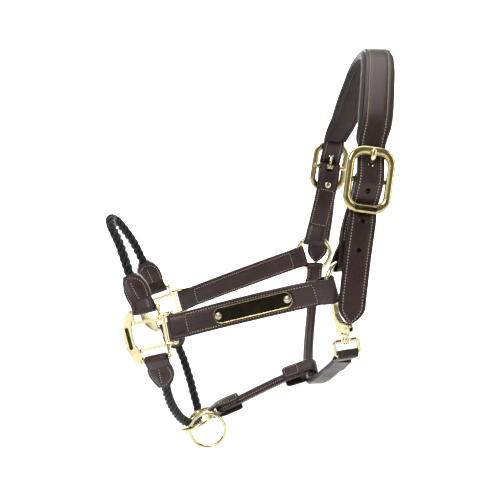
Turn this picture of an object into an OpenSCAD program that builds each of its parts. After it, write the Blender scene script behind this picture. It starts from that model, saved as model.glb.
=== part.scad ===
// Leather headcollar with a twisted rope nose and chin, as it hangs on a head.
// X points back towards the poll side, Y to the far side, Z up; the origin is where the
// padded crown rests on the poll. The near side lies at -Y.

/* [Crown] */
// Width of the crown strap
crown_w = 25.5; // [24:0.5:26]
// Thickness of the crown strap
crown_t = 3.6; // [3:0.1:3.8]
// Width of the padded lining
pad_w = 33; // [28:1:36]
// Thickness of the padded lining
pad_t = 7; // [5:0.5:7.5]
// Distance between the holes of the tails
hole_gap = 27; // [26:1:28]
// Radius of a tail hole
hole_r = 2.3; // [1.5:0.1:2.6]

/* [Straps] */
// Width of the cheek straps and chapes
cheek_w = 25; // [23:0.5:25]
// Thickness of one ply of a folded strap
ply = 2.6; // [2.2:0.1:2.7]
// Width of the flat ends of the throat lash
lash_w = 19; // [16:1:20]
// Diameter of the rolled part of the throat lash
lash_d = 12; // [10:0.5:12]
// Diameter of the rolled jaw strap
jaw_d = 10; // [8:0.5:10]
// Width of the tabs on the jaw strap
jaw_tab_w = 17; // [14:1:17]

/* [Rope] */
// Diameter of the nose and chin ropes
rope_d = 10; // [8:0.5:10]

/* [Rings] */
// Radius of a cheek ring to the middle of its wire
cheek_ring_r = 20.5; // [20:0.5:21]
// Wire diameter of a cheek ring
cheek_ring_wire = 5.5; // [5:0.1:5.6]
// Radius of the chin ring to the middle of its wire
chin_ring_r = 20.5; // [20.5:0.1:21]
// Wire diameter of the chin ring
chin_ring_wire = 4.5; // [4:0.1:4.6]
// Radius of the lead ring to the middle of its wire
lead_ring_r = 19.5; // [19:0.5:20]
// Wire diameter of the lead ring
lead_ring_wire = 4; // [3.5:0.1:4.2]

/* [Buckles] */
// Outer width of a buckle frame
buckle_w = 45; // [44:0.5:48]
// Outer height of a buckle frame
buckle_h = 61; // [60.5:0.5:62]
// Width of the opening of a buckle frame
buckle_open_w = 30; // [29:0.5:31]
// Height of the opening of a buckle frame
buckle_open_h = 44.5; // [44:0.5:45]
// Depth of a buckle frame
buckle_t = 6; // [5:0.5:6]
// Radius of the centre bar
buckle_bar_r = 2.5; // [2:0.1:2.5]

/* [Squares] */
// Width of the central opening of a square
square_open_w = 30; // [29:0.5:31]
// Height of the central opening of a square
square_open_h = 24.4; // [24:0.2:25]
// Thickness of a square
square_t = 3.6; // [3:0.1:4]
// Radius of the strap bars of a square
square_bar_r = 2; // [1.6:0.1:2]

/* [Snap] */
// Width of the strap eye of the snap
snap_eye_w = 26.4; // [26:0.2:28]
// Wire radius of the strap eye
snap_eye_wire_r = 1.7; // [1.5:0.1:1.7]

/* [Hidden] */
$fn = 48;

leather = [0.24, 0.19, 0.18];
lining = [0.17, 0.15, 0.15];
brass = [0.86, 0.80, 0.55];
antique_brass = [0.72, 0.62, 0.33];
plate_brass = [0.35, 0.31, 0.18];
rivet_copper = [0.80, 0.60, 0.45];
black_rope = [0.13, 0.13, 0.14];
foam = [0.80, 0.78, 0.70];
cord_white = [0.85, 0.83, 0.78];

// Gap kept between soft leather and the metal that it holds
gap = 0.3;
// Gap kept between two pieces of leather
leather_gap = 0.2;
// Half the distance between the middles of two plies that lie on each other
ply_half = ply / 2 + 0.1;
X = [1, 0, 0];
Y = [0, 1, 0];
Z = [0, 0, 1];

// Turning and placing points the way rotate() and translate() do
function turn_x(a, p) = [p[0], p[1] * cos(a) - p[2] * sin(a), p[1] * sin(a) + p[2] * cos(a)];
function turn_y(a, p) = [p[0] * cos(a) + p[2] * sin(a), p[1], p[2] * cos(a) - p[0] * sin(a)];
function turn_z(a, p) = [p[0] * cos(a) - p[1] * sin(a), p[0] * sin(a) + p[1] * cos(a), p[2]];
function turned(r, p) = turn_z(r[2], turn_y(r[1], turn_x(r[0], p)));
function placed(at, r, p) = at + turned(r, p);
function unit(v) = v / norm(v);
function square_to(v, along) = unit(v - along * (v * along));
function far_side(p) = [p[0], -p[1], p[2]];
function turned_back(list) = [for (i = [len(list) - 1:-1:0]) list[i]];

// A smooth curve of n steps between each two of the points
function between(a, b, c, d, t) =
    (2 * b + (c - a) * t + (2 * a - 5 * b + 4 * c - d) * t * t + (3 * b - a - 3 * c + d) * t * t * t) / 2;
function smooth(p, n) = concat(
    [for (i = [0:len(p) - 2], k = [0:n - 1])
        between(p[max(i - 1, 0)], p[i], p[i + 1], p[min(i + 2, len(p) - 1)], k / n)],
    [p[len(p) - 1]]);
function tangent(p, i) = unit(p[min(i + 1, len(p) - 1)] - p[max(i - 1, 0)]);

// A closed solid through rings of equally many points
module skin(rings) {
    m = len(rings[0]);
    last = (len(rings) - 1) * m;
    sides = [for (i = [0:len(rings) - 2], j = [0:m - 1])
        [i * m + j, (i + 1) * m + j, (i + 1) * m + (j + 1) % m, i * m + (j + 1) % m]];
    start = [for (j = [0:m - 1]) j];
    end = [for (j = [m - 1:-1:0]) last + j];
    polyhedron([for (r = rings, p = r) p], concat([start], sides, [end]));
}

// A flat band: sides points across it, w and t are its width and thickness at each point
module band(route, sides, w, t) {
    skin([for (i = [0:len(route) - 1])
        let (d = tangent(route, i), s = square_to(sides[i], d), n = cross(d, s))
        [for (c = [[1, 1], [-1, 1], [-1, -1], [1, -1]])
            route[i] + s * c[0] * w[i] / 2 + n * c[1] * t[i] / 2]]);
}

// A flat band whose ends meet, which makes a strap folded at both of its ends. Each of its
// twisted faces is four triangles round the face's middle.
module closed_band(route, sides, w, t) {
    count = len(route);
    rings = [for (i = [0:count - 1])
        let (d = unit(route[(i + 1) % count] - route[(i + count - 1) % count]),
            s = square_to(sides[i], d), n = cross(d, s))
        [for (c = [[1, 1], [-1, 1], [-1, -1], [1, -1]]) route[i] + s * c[0] * w / 2 + n * c[1] * t / 2]];
    corners = [for (r = rings, p = r) p];
    faces = [for (i = [0:count - 1], j = [0:3])
        let (k = (i + 1) % count, l = (j + 1) % 4) [i * 4 + j, k * 4 + j, k * 4 + l, i * 4 + l]];
    middles = [for (f = faces) (corners[f[0]] + corners[f[1]] + corners[f[2]] + corners[f[3]]) / 4];
    polyhedron(concat(corners, middles),
        [for (i = [0:len(faces) - 1], j = [0:3]) [faces[i][j], faces[i][(j + 1) % 4], len(corners) + i]]);
}

// A round or oval tube: a and b are its half sizes along side and square to it
module oval_tube(route, side, a, b, facets) {
    skin([for (i = [0:len(route) - 1])
        let (d = tangent(route, i), s = square_to(side, d), n = cross(d, s))
        [for (k = [0:facets - 1])
            route[i] + s * a[i] * cos(360 * k / facets) + n * b[i] * sin(360 * k / facets)]]);
}
module tube(route, side, r, facets = 10) {
    rr = [for (p = route) r];
    oval_tube(route, side, rr, rr, facets);
}

// The route of a fold round a bar at the point at: the strap runs along d, n is its face,
// r is the fold's radius, and the two plies meet at the distance reach. ease is the share of
// the reach at which the plies bend towards each other, and the share of their gap left there
function fold_route(at, d, n, r, reach, half, ease = [0.55, 0.62]) =
    let (waist = half + (r - half) * ease[1]) concat(
        [at + d * (reach + 1) + n * half, at + d * reach * ease[0] + n * waist],
        [for (k = [0:8]) at + n * r * cos(22.5 * k) - d * r * sin(22.5 * k)],
        [at + d * reach * ease[0] - n * waist, at + d * (reach + 1) - n * half]);
// The part of a fold's route that lies clear of the sewn part of its strap, for one end of it
function fold_only(end) =
    let (route = fold_route(end[0], end[1], unit(cross(end[2], end[1])), end[3], end[4], ply_half))
    [for (i = [1:len(route) - 2]) route[i]];

// A strap of two plies, folded round something at both ends: middle is the line between the
// plies, and each end is [place, way into the strap, side, fold radius, reach]. A late twist
// keeps the strap flat near its first end.
module folded_strap(middle, end_a, end_b, w, late = 1) {
    n = len(middle) - 1;
    sides = [for (i = [0:n]) let (share = pow(i / n, late)) end_a[2] * (1 - share) + end_b[2] * share];
    faces = [for (i = [0:n]) unit(cross(tangent(middle, i), sides[i]))];
    round_a = fold_only(end_a);
    round_b = fold_only(end_b);
    closed_band(
        concat([for (i = [0:n]) middle[i] + faces[i] * ply_half], round_b,
            [for (i = [n:-1:0]) middle[i] - faces[i] * ply_half], round_a),
        concat(sides, [for (p = round_b) end_b[2]], turned_back(sides), [for (p = round_a) end_a[2]]), w, ply);
}
module fold(at, along, bar_way, r, reach, w, half = ply_half, ease = [0.55, 0.62]) {
    d = unit(along);
    n = cross(d, square_to(bar_way, d));
    route = fold_route(at, d, n, r, reach, half, ease);
    band(route, [for (p = route) bar_way], [for (p = route) w], [for (p = route) ply]);
}

// Radius of a fold's middle line round a bar or a ring wire
function fold_r(bar_r, slack = gap) = bar_r + slack + ply / 2;
// How far a ring's wire falls away from its tangent at half the strap's width
function ring_sag(r, w) = r - sqrt(r * r - w * w / 4);

// Place of the buckles: the centre bar's middle, the strap runs up the local Z axis
near_buckle_at = [-24.5, -103, -123.5];
far_buckle_at = [-25.5, -103, -110.5];
buckle_turn = [-5, 7.5, 0];
frame_out = 1.5;

// Place of the cheek rings: the middle, and the turn of the ring's plane about Z
near_ring_at = [-44, -97, -218.5];
near_ring_turn = 32;
far_ring_at = [-44, -101, -218.5];
far_ring_turn = 10;
function ring_plane(turn) = [cos(turn), sin(turn), 0];

// Place of the near square: the middle of its opening, the cheek strap leaves along local X
square_at = [-231.5, -58.5, -278.5];
square_turn = [-14, -15.5, -13.5];
function at_square(p) = placed(square_at, square_turn, p);
function square_way(v) = turned(square_turn, v);
top_bar = [-1.5, 0, 26.3];
rear_bar = [25.5, 0, 1.8];
bottom_bar = [1.5, 0, -25.5];
// Half the length of a strap bar
bar_end = 14.9;

// Crown strap: the tail lies behind the buckle's end bars and over its centre bar
function tail_in_buckle(place_fn) = [for (q = [[0.2, -38], [3.4, -25.5], [-3.5, -12.5], [-8, 0],
    [-3.5, 12.5], [3.3, 26], [2.9, 38]]) placed(place_fn, buckle_turn, [0, q[0], q[1]])];
near_tail = [[-40.5, -115, -256], [-39.9, -114.8, -249], [-39.2, -114.5, -241], [-37.5, -113.4, -223],
    [-33.5, -109.5, -190]];
far_tail = [[-40, -112.5, -233], [-39.5, -112.2, -226], [-38.7, -111.8, -218], [-36, -110.5, -202],
    [-32.5, -108, -174]];
crown_top = [[-16.5, -95.5, -71], [-12.8, -84, -52], [-8.6, -68, -31], [-4.6, -52, -13.5],
    [-1.6, -34, 1.5], [0, -14, 8.3], [0, 14, 8.3], [-1.6, 34, 1.5], [-4.6, 52, -13.5],
    [-8.6, 68, -31], [-12.8, 84, -52]];
near_half = concat(near_tail, tail_in_buckle(near_buckle_at), crown_top);
far_half = [for (p = concat(far_tail, tail_in_buckle(far_buckle_at))) far_side(p)];
crown_route = concat(near_half, turned_back(far_half));
crown_line = smooth(crown_route, 3);
// The strap lies square to the buckles' bars, and level across the poll
function crown_side(p) =
    let (share = max(0, min(1, -(p[2] + 40) / 40))) X * (1 - share) + turned(buckle_turn, X) * share;
// Length of the pointed end of a tail
tip_round = 18;
function crown_width(i) =
    let (tips = [crown_line[0], crown_line[len(crown_line) - 1]],
        s = min(norm(crown_line[i] - tips[0]), norm(crown_line[i] - tips[1])))
    s > tip_round ? crown_w : max(4, crown_w * (1 - pow(1 - s / tip_round, 1.75)));
// Padded lining: under the crown strap, from just above one buckle to just above the other
function inward(p, i) = unit(cross(X, tangent(p, i)));
pad_from = 31;
pad_to = len(crown_line) - 1 - pad_from;
pad_offset = crown_t / 2 + pad_t / 2 + 0.8;
pad_line = [for (i = [pad_from:pad_to]) crown_line[i] - inward(crown_line, i) * pad_offset];
pad_last = len(pad_line) - 1;
function pad_end(i) = min(i, pad_last - i);
function pad_width(i) = pad_w - max(0, 3 - pad_end(i)) * 2.4;
function pad_thickness(i) = pad_t - max(0, 4 - pad_end(i)) * 1.1;
foam_w = pad_w - 12;
foam_t = pad_t - 4;

// Nose rope and chin rope: the middle lines, from the near tab to the far tab
nose_route = [[-246.8, -45.6, -233.5], [-253, -42, -220.5], [-258.5, -38.8, -205],
    [-265.5, -31, -188], [-273.5, -20.5, -175], [-278, -9, -167.5], [-278, 2, -166],
    [-274.5, 12, -170], [-270, 21, -178], [-263, 31, -191.5], [-257.5, 38.5, -205],
    [-251.5, 42.5, -220.5], [-246.8, 45.6, -233.5]];
chin_route = [[-219.8, -60.6, -321.5], [-217.6, -57, -331], [-216.3, -51, -344], [-213, -39, -362],
    [-207.5, -24, -379.5], [-202, -11.5, -391], [-195.5, 0, -399], [-191, 12, -403.6],
    [-189, 23, -404.2], [-189.5, 34, -397.5], [-194.5, 44, -383], [-201, 54, -363],
    [-208.5, 61, -342], [-214.5, 63.5, -328], [-217, 64.2, -320]];
near_nose_tip = nose_route[1];
far_nose_tip = far_side(nose_route[len(nose_route) - 2]);
near_chin_tip = chin_route[1];
far_chin_tip = far_side(chin_route[len(chin_route) - 2]);

// Chin ring, lead ring and jaw strap
chin_ring_at = [-188, 0, -394];
chin_ring_tilt = 26;
chin_ring_back = turn_y(-chin_ring_tilt, [chin_ring_r, 0, 0]);
lead_hook_angle = -39.5;
lead_hook_at = chin_ring_at
    + turn_y(-chin_ring_tilt, [chin_ring_r * cos(lead_hook_angle), chin_ring_r * sin(lead_hook_angle), 0]);
lead_drop = lead_ring_r - 4.9;
lead_lean = 11;
jaw_way = [0.925, 0.05, 0.375];
jaw_fold_at = chin_ring_at + chin_ring_back - unit(jaw_way) * ring_sag(chin_ring_r, jaw_tab_w);
jaw_route = [[-160, 0.5, -381.1], [-149, 1, -376.6], [-120, 5, -363.5], [-91, 8.5, -351],
    [-71, 9.6, -344.2]];
jaw_loop_at = [-60, 10, -340.6];
jaw_loop_way = [-0.95, 0, -0.31];
lash_way = [0.02, -0.87, -0.49];

// Throat lash: from the far cheek ring under the throat to the eye of the snap
lash_fold_at = [-42.6, 101.3, -236.6];
lash_fold_way = [-0.08, -0.2, -0.98];
lash_fold_r = fold_r(cheek_ring_wire / 2, 0.5);
snap_at = [-41, -99, -275];
snap_turn = [0, -9, 0];
hook_turn = -45;
eye_bar_z = -13.5;
eye_bar_at = placed(snap_at, snap_turn, [0, 0, eye_bar_z]);
lash_end_way = [-0.05, 0.88, -0.47];
lash_route = [[-45.4, 98, -251.5], [-46, 94.5, -264], [-47.3, 86, -281], [-50, 74, -296.5],
    [-53, 61, -309.5], [-56.2, 45, -321.6], [-58.6, 30, -330.4], [-60, 17.5, -336.8],
    [-60, 2.5, -344.6], [-58.5, -8, -346.6], [-55, -20, -342.6], [-50, -34, -333],
    [-45.4, -49, -321], [-42, -64, -310.3], [-39.8, -79, -299.7]];
lash_half_w = [9.5, 9, 6.6, 6, 6, 6, 6, 6, 6, 8, 9.3, 9.5, 9.5, 9.5, 9.5];
lash_half_t = [2.8, 3.4, 5.6, 6, 6, 6, 6, 6, 6, 4.4, 3.2, 2.9, 2.7, 2.7, 2.7];

// Cheek strap: from the square's rear bar to the cheek ring
cheek_way = [0.924, -0.259, 0.278];
cheek_front_at = at_square(rear_bar);
function ring_pull(at, turn, way) =
    at + cheek_ring_r * unit([-way[0] * cos(turn) * cos(turn), -way[0] * cos(turn) * sin(turn), -way[2]]);
cheek_rear_slack = 1.2;
function cheek_rear_at(at, turn) = ring_pull(at, turn, cheek_way)
    + unit(at - ring_pull(at, turn, cheek_way)) * ring_sag(cheek_ring_r, cheek_w) * 0.75;
// Way of the ring's wire where the cheek strap pulls on it
function ring_pull_wire(at, turn) =
    unit(cross([-sin(turn), cos(turn), 0], ring_pull(at, turn, cheek_way) - at));
front_reach = 15;
rear_reach = 19;

/* Crown */
module crown_strap() {
    color(leather) difference() {
        band(crown_line, [for (p = crown_line) crown_side(p)],
            [for (i = [0:len(crown_line) - 1]) crown_width(i)], [for (p = crown_line) crown_t]);
        for (side = [0, 1]) mirror([0, side, 0])
            translate(side == 0 ? near_buckle_at : far_buckle_at) rotate(buckle_turn) {
                // Hole that the prong stands in, and the free holes below it
                translate([0, 0, 12]) rotate([90, 0, 0]) cylinder(h = 30, r = hole_r, center = true);
                translate([0, 0, 17.5]) rotate([90, 0, 0]) cylinder(h = 30, r = hole_r, center = true);
                translate([-hole_r, -15, 12]) cube([2 * hole_r, 30, 5.5]);
                for (k = [1:3]) translate([0, 0, 16.7 - k * hole_gap]) rotate([90, 0, 0])
                    cylinder(h = 40, r = hole_r, center = true);
            }
    }
}
module crown_padding() {
    color(lining) difference() {
        band(pad_line, [for (p = pad_line) X], [for (i = [0:pad_last]) pad_width(i)],
            [for (i = [0:pad_last]) pad_thickness(i)]);
        foam_shape(0.1);
    }
}
module foam_shape(extra) {
    inner = [for (i = [5:pad_last - 5]) pad_line[i]];
    band(inner, [for (p = inner) X], [for (p = inner) foam_w + extra], [for (p = inner) foam_t + extra]);
}
module crown_foam() {
    color(foam) foam_shape(-0.1);
}

/* Buckles, made for the near side */
module round_plate(w, h, r, t) {
    linear_extrude(t) {
        square([w - 2 * r, h], center = true);
        square([w, h - 2 * r], center = true);
        for (x = [-1, 1], y = [-1, 1]) translate([x * (w / 2 - r), y * (h / 2 - r)]) circle(r);
    }
}
module buckle(at) {
    lug_w = (buckle_w - buckle_open_w) / 2 - 1.5;
    color(antique_brass) translate(at) rotate(buckle_turn) {
        translate([0, -frame_out, 0]) rotate([90, 0, 0]) difference() {
            round_plate(buckle_w, buckle_h, 14, buckle_t);
            translate([0, 0, -1]) round_plate(buckle_open_w, buckle_open_h, 6, buckle_t + 2);
        }
        rotate([0, 90, 0]) cylinder(h = buckle_open_w + 8, r = buckle_bar_r, center = true);
        for (s = [-1, 1]) translate([s * (buckle_open_w / 2 + lug_w / 2 + 0.2) - lug_w / 2, -frame_out - 1, -3.4])
            cube([lug_w, frame_out + 1 + buckle_bar_r, 6.8]);
    }
}
prong_route = [[0, 1, 3.4], [0, 0.5, 8], [0, -1.3, 13], [0, -5.4, 17], [0, -9.2, 21], [0, -9.9, 28.6]];
coil_bore_r = buckle_bar_r + gap;
module prong(at) {
    color(brass) translate(at) rotate(buckle_turn) difference() {
        union() {
            rotate([0, 90, 0]) cylinder(h = 7, r = coil_bore_r + 1.8, center = true);
            tube(smooth(prong_route, 3), X, 1.6);
        }
        rotate([0, 90, 0]) cylinder(h = 9, r = coil_bore_r, center = true);
    }
}

/* Chapes, made for the near side */
function chape_low_at(ring_at) = ring_at + [0.5, 0, cheek_ring_r - ring_sag(cheek_ring_r, cheek_w)];
chape_top_way = unit(turned(buckle_turn, [0, 0.385, -0.925]));
chape_low_way = unit([0.22, -0.03, 0.975]);
chape_top_reach = 18;
chape_low_reach = 18;
function chape_middle(at, ring_at) =
    let (start = at + chape_top_way * chape_top_reach,
        finish = chape_low_at(ring_at) + chape_low_way * chape_low_reach)
    smooth([start, (start + finish) / 2 + [0, 2.4, 0], finish], 4);
module chape(at, ring_at, turn) {
    color(leather) difference() {
        folded_strap(chape_middle(at, ring_at),
            [at, chape_top_way, turned(buckle_turn, X), fold_r(buckle_bar_r), chape_top_reach],
            [chape_low_at(ring_at), chape_low_way, ring_plane(turn), fold_r(cheek_ring_wire / 2, 1),
                chape_low_reach], cheek_w, 2);
        // Slot for the prong's coil
        translate(at) rotate(buckle_turn) translate([-4.2, -9, -6]) cube([8.4, 16, 16]);
        on_chape(at, ring_at) {
            cylinder(h = 24, r = rivet_r + 0.1, center = true);
            translate([0, 0, burr_from - 0.1]) cylinder(h = 4, r = burr_r + 0.2);
        }
        ring_room(ring_at, turn);
    }
}
// Turns +Z outwards through the chape at its rivet
module on_chape(at, ring_at) {
    line = chape_middle(at, ring_at);
    out = unit(cross(tangent(line, 1), turned(buckle_turn, X)));
    translate(line[1]) rotate([0, acos(out[2]), atan2(out[1], out[0])]) children();
}
// The rivet's dome is on the inside, its flat burr is sunk into the outside
rivet_r = 1.5;
burr_r = 3.2;
burr_from = ply - 0.8;
module chape_rivet(at, ring_at) {
    color(brass) on_chape(at, ring_at) {
        translate([0, 0, -ply - 0.6]) cylinder(h = 2 * ply + 0.9, r = rivet_r);
        translate([0, 0, -ply - 2]) cylinder(h = 1.6, r = 4);
        translate([0, 0, burr_from]) cylinder(h = 0.8, r = burr_r);
    }
}

/* Rings */
module ring(r, wire) {
    rotate_extrude($fn = 96) translate([r, 0]) circle(wire / 2);
}
module cheek_ring(at, turn) {
    color(brass) translate(at) rotate([90, 0, turn]) ring(cheek_ring_r, cheek_ring_wire);
}
// Room for a cheek ring's wire, which presses itself into the folds round it
module ring_room(at, turn) {
    translate(at) rotate([90, 0, turn]) ring(cheek_ring_r, cheek_ring_wire + 2 * gap);
}
module chin_ring() {
    color(brass) translate(chin_ring_at) rotate([0, -chin_ring_tilt, 0]) ring(chin_ring_r, chin_ring_wire);
}
module lead_ring() {
    color(brass) translate(lead_hook_at) rotate([0, lead_lean, 0]) translate([0, 0, -lead_drop])
        rotate([90, 0, 0]) ring(lead_ring_r, lead_ring_wire);
}

/* Cheek straps, made for the near side */
module cheek_strap(ring_at, turn) {
    rear = cheek_rear_at(ring_at, turn);
    along = unit(rear - cheek_front_at);
    start_way = unit(square_way(X) + along);
    start = cheek_front_at + start_way * front_reach;
    finish = rear - along * rear_reach;
    middle = smooth([start, start + (finish - start) * 0.33 + [0, 1, 0.6],
        start + (finish - start) * 0.67 + [0, 1, 0.6], finish], 4);
    color(leather) difference() {
        folded_strap(middle,
            [cheek_front_at, start_way, square_way(Z), fold_r(square_bar_r), front_reach],
            [rear, -along, ring_pull_wire(ring_at, turn), fold_r(cheek_ring_wire / 2, cheek_rear_slack),
                rear_reach], cheek_w);
        ring_room(ring_at, turn);
        children();
    }
}
// Corner of the near cheek strap that gives way to the snap's hook
module hook_room() {
    on_hook() translate([0, 0, hook_middle]) sphere(hook_out + 0.8);
}
// Corner of the far cheek strap that gives way to the throat lash's fold, as on the near side
module lash_room() {
    translate(far_side(lash_fold_at)) rotate([0, 90, far_ring_turn])
        cylinder(h = lash_w + 4, r = lash_fold_r + ply / 2 + leather_gap, center = true);
}

/* Nameplate, on the near cheek strap */
plate_size = [79, 1.4, 15.5];
plate_at = [-129.5, -90.9, -244.3];
plate_turn = [-5, -16.2, -14.3];
plate_rivet_x = 35;
module nameplate() {
    r = 4;
    color(plate_brass) translate(plate_at) rotate(plate_turn) rotate([90, 0, 0]) difference() {
        round_plate(plate_size[0], plate_size[2], r, plate_size[1]);
        for (s = [-1, 1]) translate([s * plate_rivet_x, 0, -1]) cylinder(h = 4, r = 1.3);
    }
}
module nameplate_rivets() {
    color(rivet_copper) translate(plate_at) rotate(plate_turn) rotate([90, 0, 0])
        for (s = [-1, 1]) translate([s * plate_rivet_x, 0, 0]) {
            translate([0, 0, 0.05]) cylinder(h = plate_size[1] + 0.6, r = 1.2);
            translate([0, 0, plate_size[1] + 0.1]) cylinder(h = 1.2, r = 3.4);
        }
}

/* Squares, made for the near side */
module square_outline() {
    rim = 3.7;
    half_w = square_open_w / 2;
    half_h = square_open_h / 2;
    arm = 3.6;
    translate([-half_w - rim, -half_h - rim]) square([square_open_w + 2 * rim, square_open_h + 2 * rim]);
    for (s = [-1, 1]) {
        translate([top_bar[0] + s * bar_end - arm / 2, half_h]) square([arm, top_bar[2] - half_h]);
        translate([bottom_bar[0] + s * bar_end - arm / 2, bottom_bar[2]]) square([arm, -bottom_bar[2] - half_h]);
        translate([half_w, rear_bar[2] + s * bar_end - arm / 2]) square([rear_bar[0] - half_w, arm]);
    }
    // Webs that round the corners between the arms
    translate([top_bar[0] + bar_end + arm / 2, rear_bar[2] + bar_end + arm / 2]) corner_web(1);
    translate([bottom_bar[0] + bar_end + arm / 2, rear_bar[2] - bar_end - arm / 2]) corner_web(-1);
    // Curved front plate
    polygon([[-14.5, 15], [-14.5, 28.4], [-18.5, 28.2], [-22.7, 24], [-26.5, 16], [-28.5, 8], [-28.9, 0],
        [-27.6, -10], [-24, -18.5], [-18.8, -25.5], [-15.6, -28], [-12.5, -28], [-12.5, -15]]);
}
module corner_web(way) {
    polygon([[-0.1, -0.1 * way], [6, -0.1 * way], [2.8, 1.1 * way], [1.1, 2.8 * way], [-0.1, 6 * way]]);
}
module square_opening() {
    half_w = square_open_w / 2;
    half_h = square_open_h / 2;
    polygon([[half_w, half_h], [half_w, -half_h], [-half_w - 0.6, -half_h], [-17.6, -8], [-18.9, -1],
        [-19.1, 6], [-18.6, half_h]]);
}
module square_fitting() {
    color(brass) translate(square_at) rotate(square_turn) {
        rotate([90, 0, 0]) difference() {
            translate([0, 0, -square_t / 2]) linear_extrude(square_t) difference() {
                square_outline();
                square_opening();
            }
            // Plain oblong recess in the front plate
            translate([-23.2, 0, square_t / 2 - 0.7]) rotate([0, 0, 5]) linear_extrude(2) {
                square([4, 20], center = true);
                for (s = [-1, 1]) translate([0, s * 10]) circle(2);
            }
        }
        for (bar = [top_bar, bottom_bar]) translate(bar) {
            rotate([0, 90, 0]) cylinder(h = 2 * bar_end, r = square_bar_r, center = true);
            for (s = [-1, 1]) translate([s * bar_end, 0, 0]) sphere(2.9);
        }
        translate(rear_bar) {
            cylinder(h = 2 * bar_end, r = square_bar_r, center = true);
            for (s = [-1, 1]) translate([0, 0, s * bar_end]) sphere(2.9);
        }
    }
}

/* Rope tabs, made for the near side */
module rope_tab(bar, tip, widths, thicks, reach) {
    at = at_square(bar);
    along = unit(tip - at);
    side = square_way(X);
    start = at + along * reach;
    route = smooth([start - along * 1.2, start + (tip - start) * 0.35, start + (tip - start) * 0.75, tip], 3);
    color(leather) {
        fold(at, along, side, fold_r(square_bar_r, 0.5), reach, cheek_w - 1.4);
        band(route, [for (p = route) side], smooth(widths, 3), smooth(thicks, 3));
    }
}
module nose_tab(tip, rope) {
    difference() {
        rope_tab(top_bar, tip, [25.5, 27, 23, 13], [5.3, 10, 13, 13], 9);
        tube(rope, X, rope_d / 2 + leather_gap);
    }
}
module chin_tab(tip, rope) {
    difference() {
        rope_tab(bottom_bar, tip, [25.5, 26, 21, 13], [5.3, 9, 13, 13], 9);
        tube(rope, X, rope_d / 2 + leather_gap);
    }
}

/* Ropes */
nose_line = smooth(nose_route, 3);
chin_line = smooth(chin_route, 3);
// The ends that lie in the tabs, the far one turned to the near side
function rope_start(line) = [for (i = [0:5]) line[i]];
function rope_end(line) = [for (i = [0:5]) far_side(line[len(line) - 1 - i])];
module nose_rope() {
    color(black_rope) tube(nose_line, X, rope_d / 2);
}
module chin_rope() {
    color(black_rope) tube(chin_line, X, rope_d / 2);
}

/* Jaw strap */
jaw_line = smooth(jaw_route, 3);
core_r = 2.4;
// The front tab opens quickly behind the ring, to take the rolled strap
jaw_front_ease = [0.32, 0.02];
module jaw_strap() {
    color(leather) difference() {
        tube(jaw_line, Y, jaw_d / 2);
        tube(jaw_line, Y, core_r + 0.15);
    }
}
module jaw_core() {
    color(cord_white) tube([for (i = [1:len(jaw_line) - 2]) jaw_line[i]], Y, core_r);
}
module jaw_front_tab() {
    color(leather) fold(jaw_fold_at, jaw_way, Y, fold_r(chin_ring_wire / 2, 0.5), 33, jaw_tab_w,
        jaw_d / 2 + leather_gap + ply / 2, jaw_front_ease);
}
module jaw_rear_tab() {
    color(leather) fold(jaw_loop_at, jaw_loop_way, lash_way, lash_d / 2 + 0.7 + ply / 2, 30, jaw_tab_w,
        jaw_d / 2 + 2 * leather_gap + ply / 2);
}

/* Throat lash */
lash_line = smooth(lash_route, 3);
module throat_lash() {
    color(leather) {
        difference() {
            fold(lash_fold_at, lash_fold_way, ring_plane(-far_ring_turn), lash_fold_r, 15, lash_w);
            mirror(Y) ring_room(far_ring_at, far_ring_turn);
        }
        difference() {
            oval_tube(lash_line, X, smooth(lash_half_w, 3), smooth(lash_half_t, 3), 14);
            throat_core_shape(core_r + 0.15, 0);
        }
        fold(eye_bar_at, lash_end_way, turned(snap_turn, X), fold_r(snap_eye_wire_r), 22, lash_w);
    }
}
module throat_core_shape(r, shorter) {
    tube([for (i = [7 + shorter:25 - shorter]) lash_line[i]], X, r, 8);
}
module throat_core() {
    color(cord_white) throat_core_shape(core_r, 1);
}

/* Snap: the hook's plane is turned to the ring that it holds */
boss_h = 7;
pin_at = [4.6, 0, 13];
pin_r = 1.2;
gate_t = 2.2;
module snap_eye() {
    half = snap_eye_w / 2 - snap_eye_wire_r;
    color(brass) translate(snap_at) rotate(snap_turn) {
        difference() {
            union() {
                cylinder(h = boss_h, r = 4.3, center = true);
                rotate([0, 90, 0]) cylinder(h = 2 * half, r = snap_eye_wire_r, center = true);
            }
            cylinder(h = boss_h + 2, r = 2.8, center = true);
        }
        for (s = [-1, 1]) translate([s * half, 0, eye_bar_z]) cylinder(h = -eye_bar_z, r = snap_eye_wire_r);
        for (s = [-1, 1], z = [0, eye_bar_z]) translate([s * half, 0, z]) sphere(snap_eye_wire_r);
        translate([0, 0, eye_bar_z]) rotate([0, 90, 0])
            cylinder(h = 2 * half, r = snap_eye_wire_r, center = true);
    }
}
module on_hook() {
    translate(snap_at) rotate(snap_turn) rotate([0, 0, hook_turn]) children();
}
hook_middle = 37;
hook_in = 5.7;
hook_out = 9;
module hook_outline() {
    // Spine, with the hook's arc over the top and its tip on the gate's side
    polygon([[-6.5, 8], [7.5, 8], [8, 12], [7, 16.5], [-1.5, 17.5], [-hook_in, 26], [-hook_in, hook_middle],
        [-hook_out, hook_middle], [-hook_out, 28]]);
    difference() {
        translate([0, hook_middle]) circle(hook_out);
        translate([0, hook_middle]) circle(hook_in);
        translate([-20, hook_middle - 20]) square([40, 20]);
    }
    translate([hook_in, hook_middle - 7]) square([hook_out - hook_in, 7.01]);
}
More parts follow.
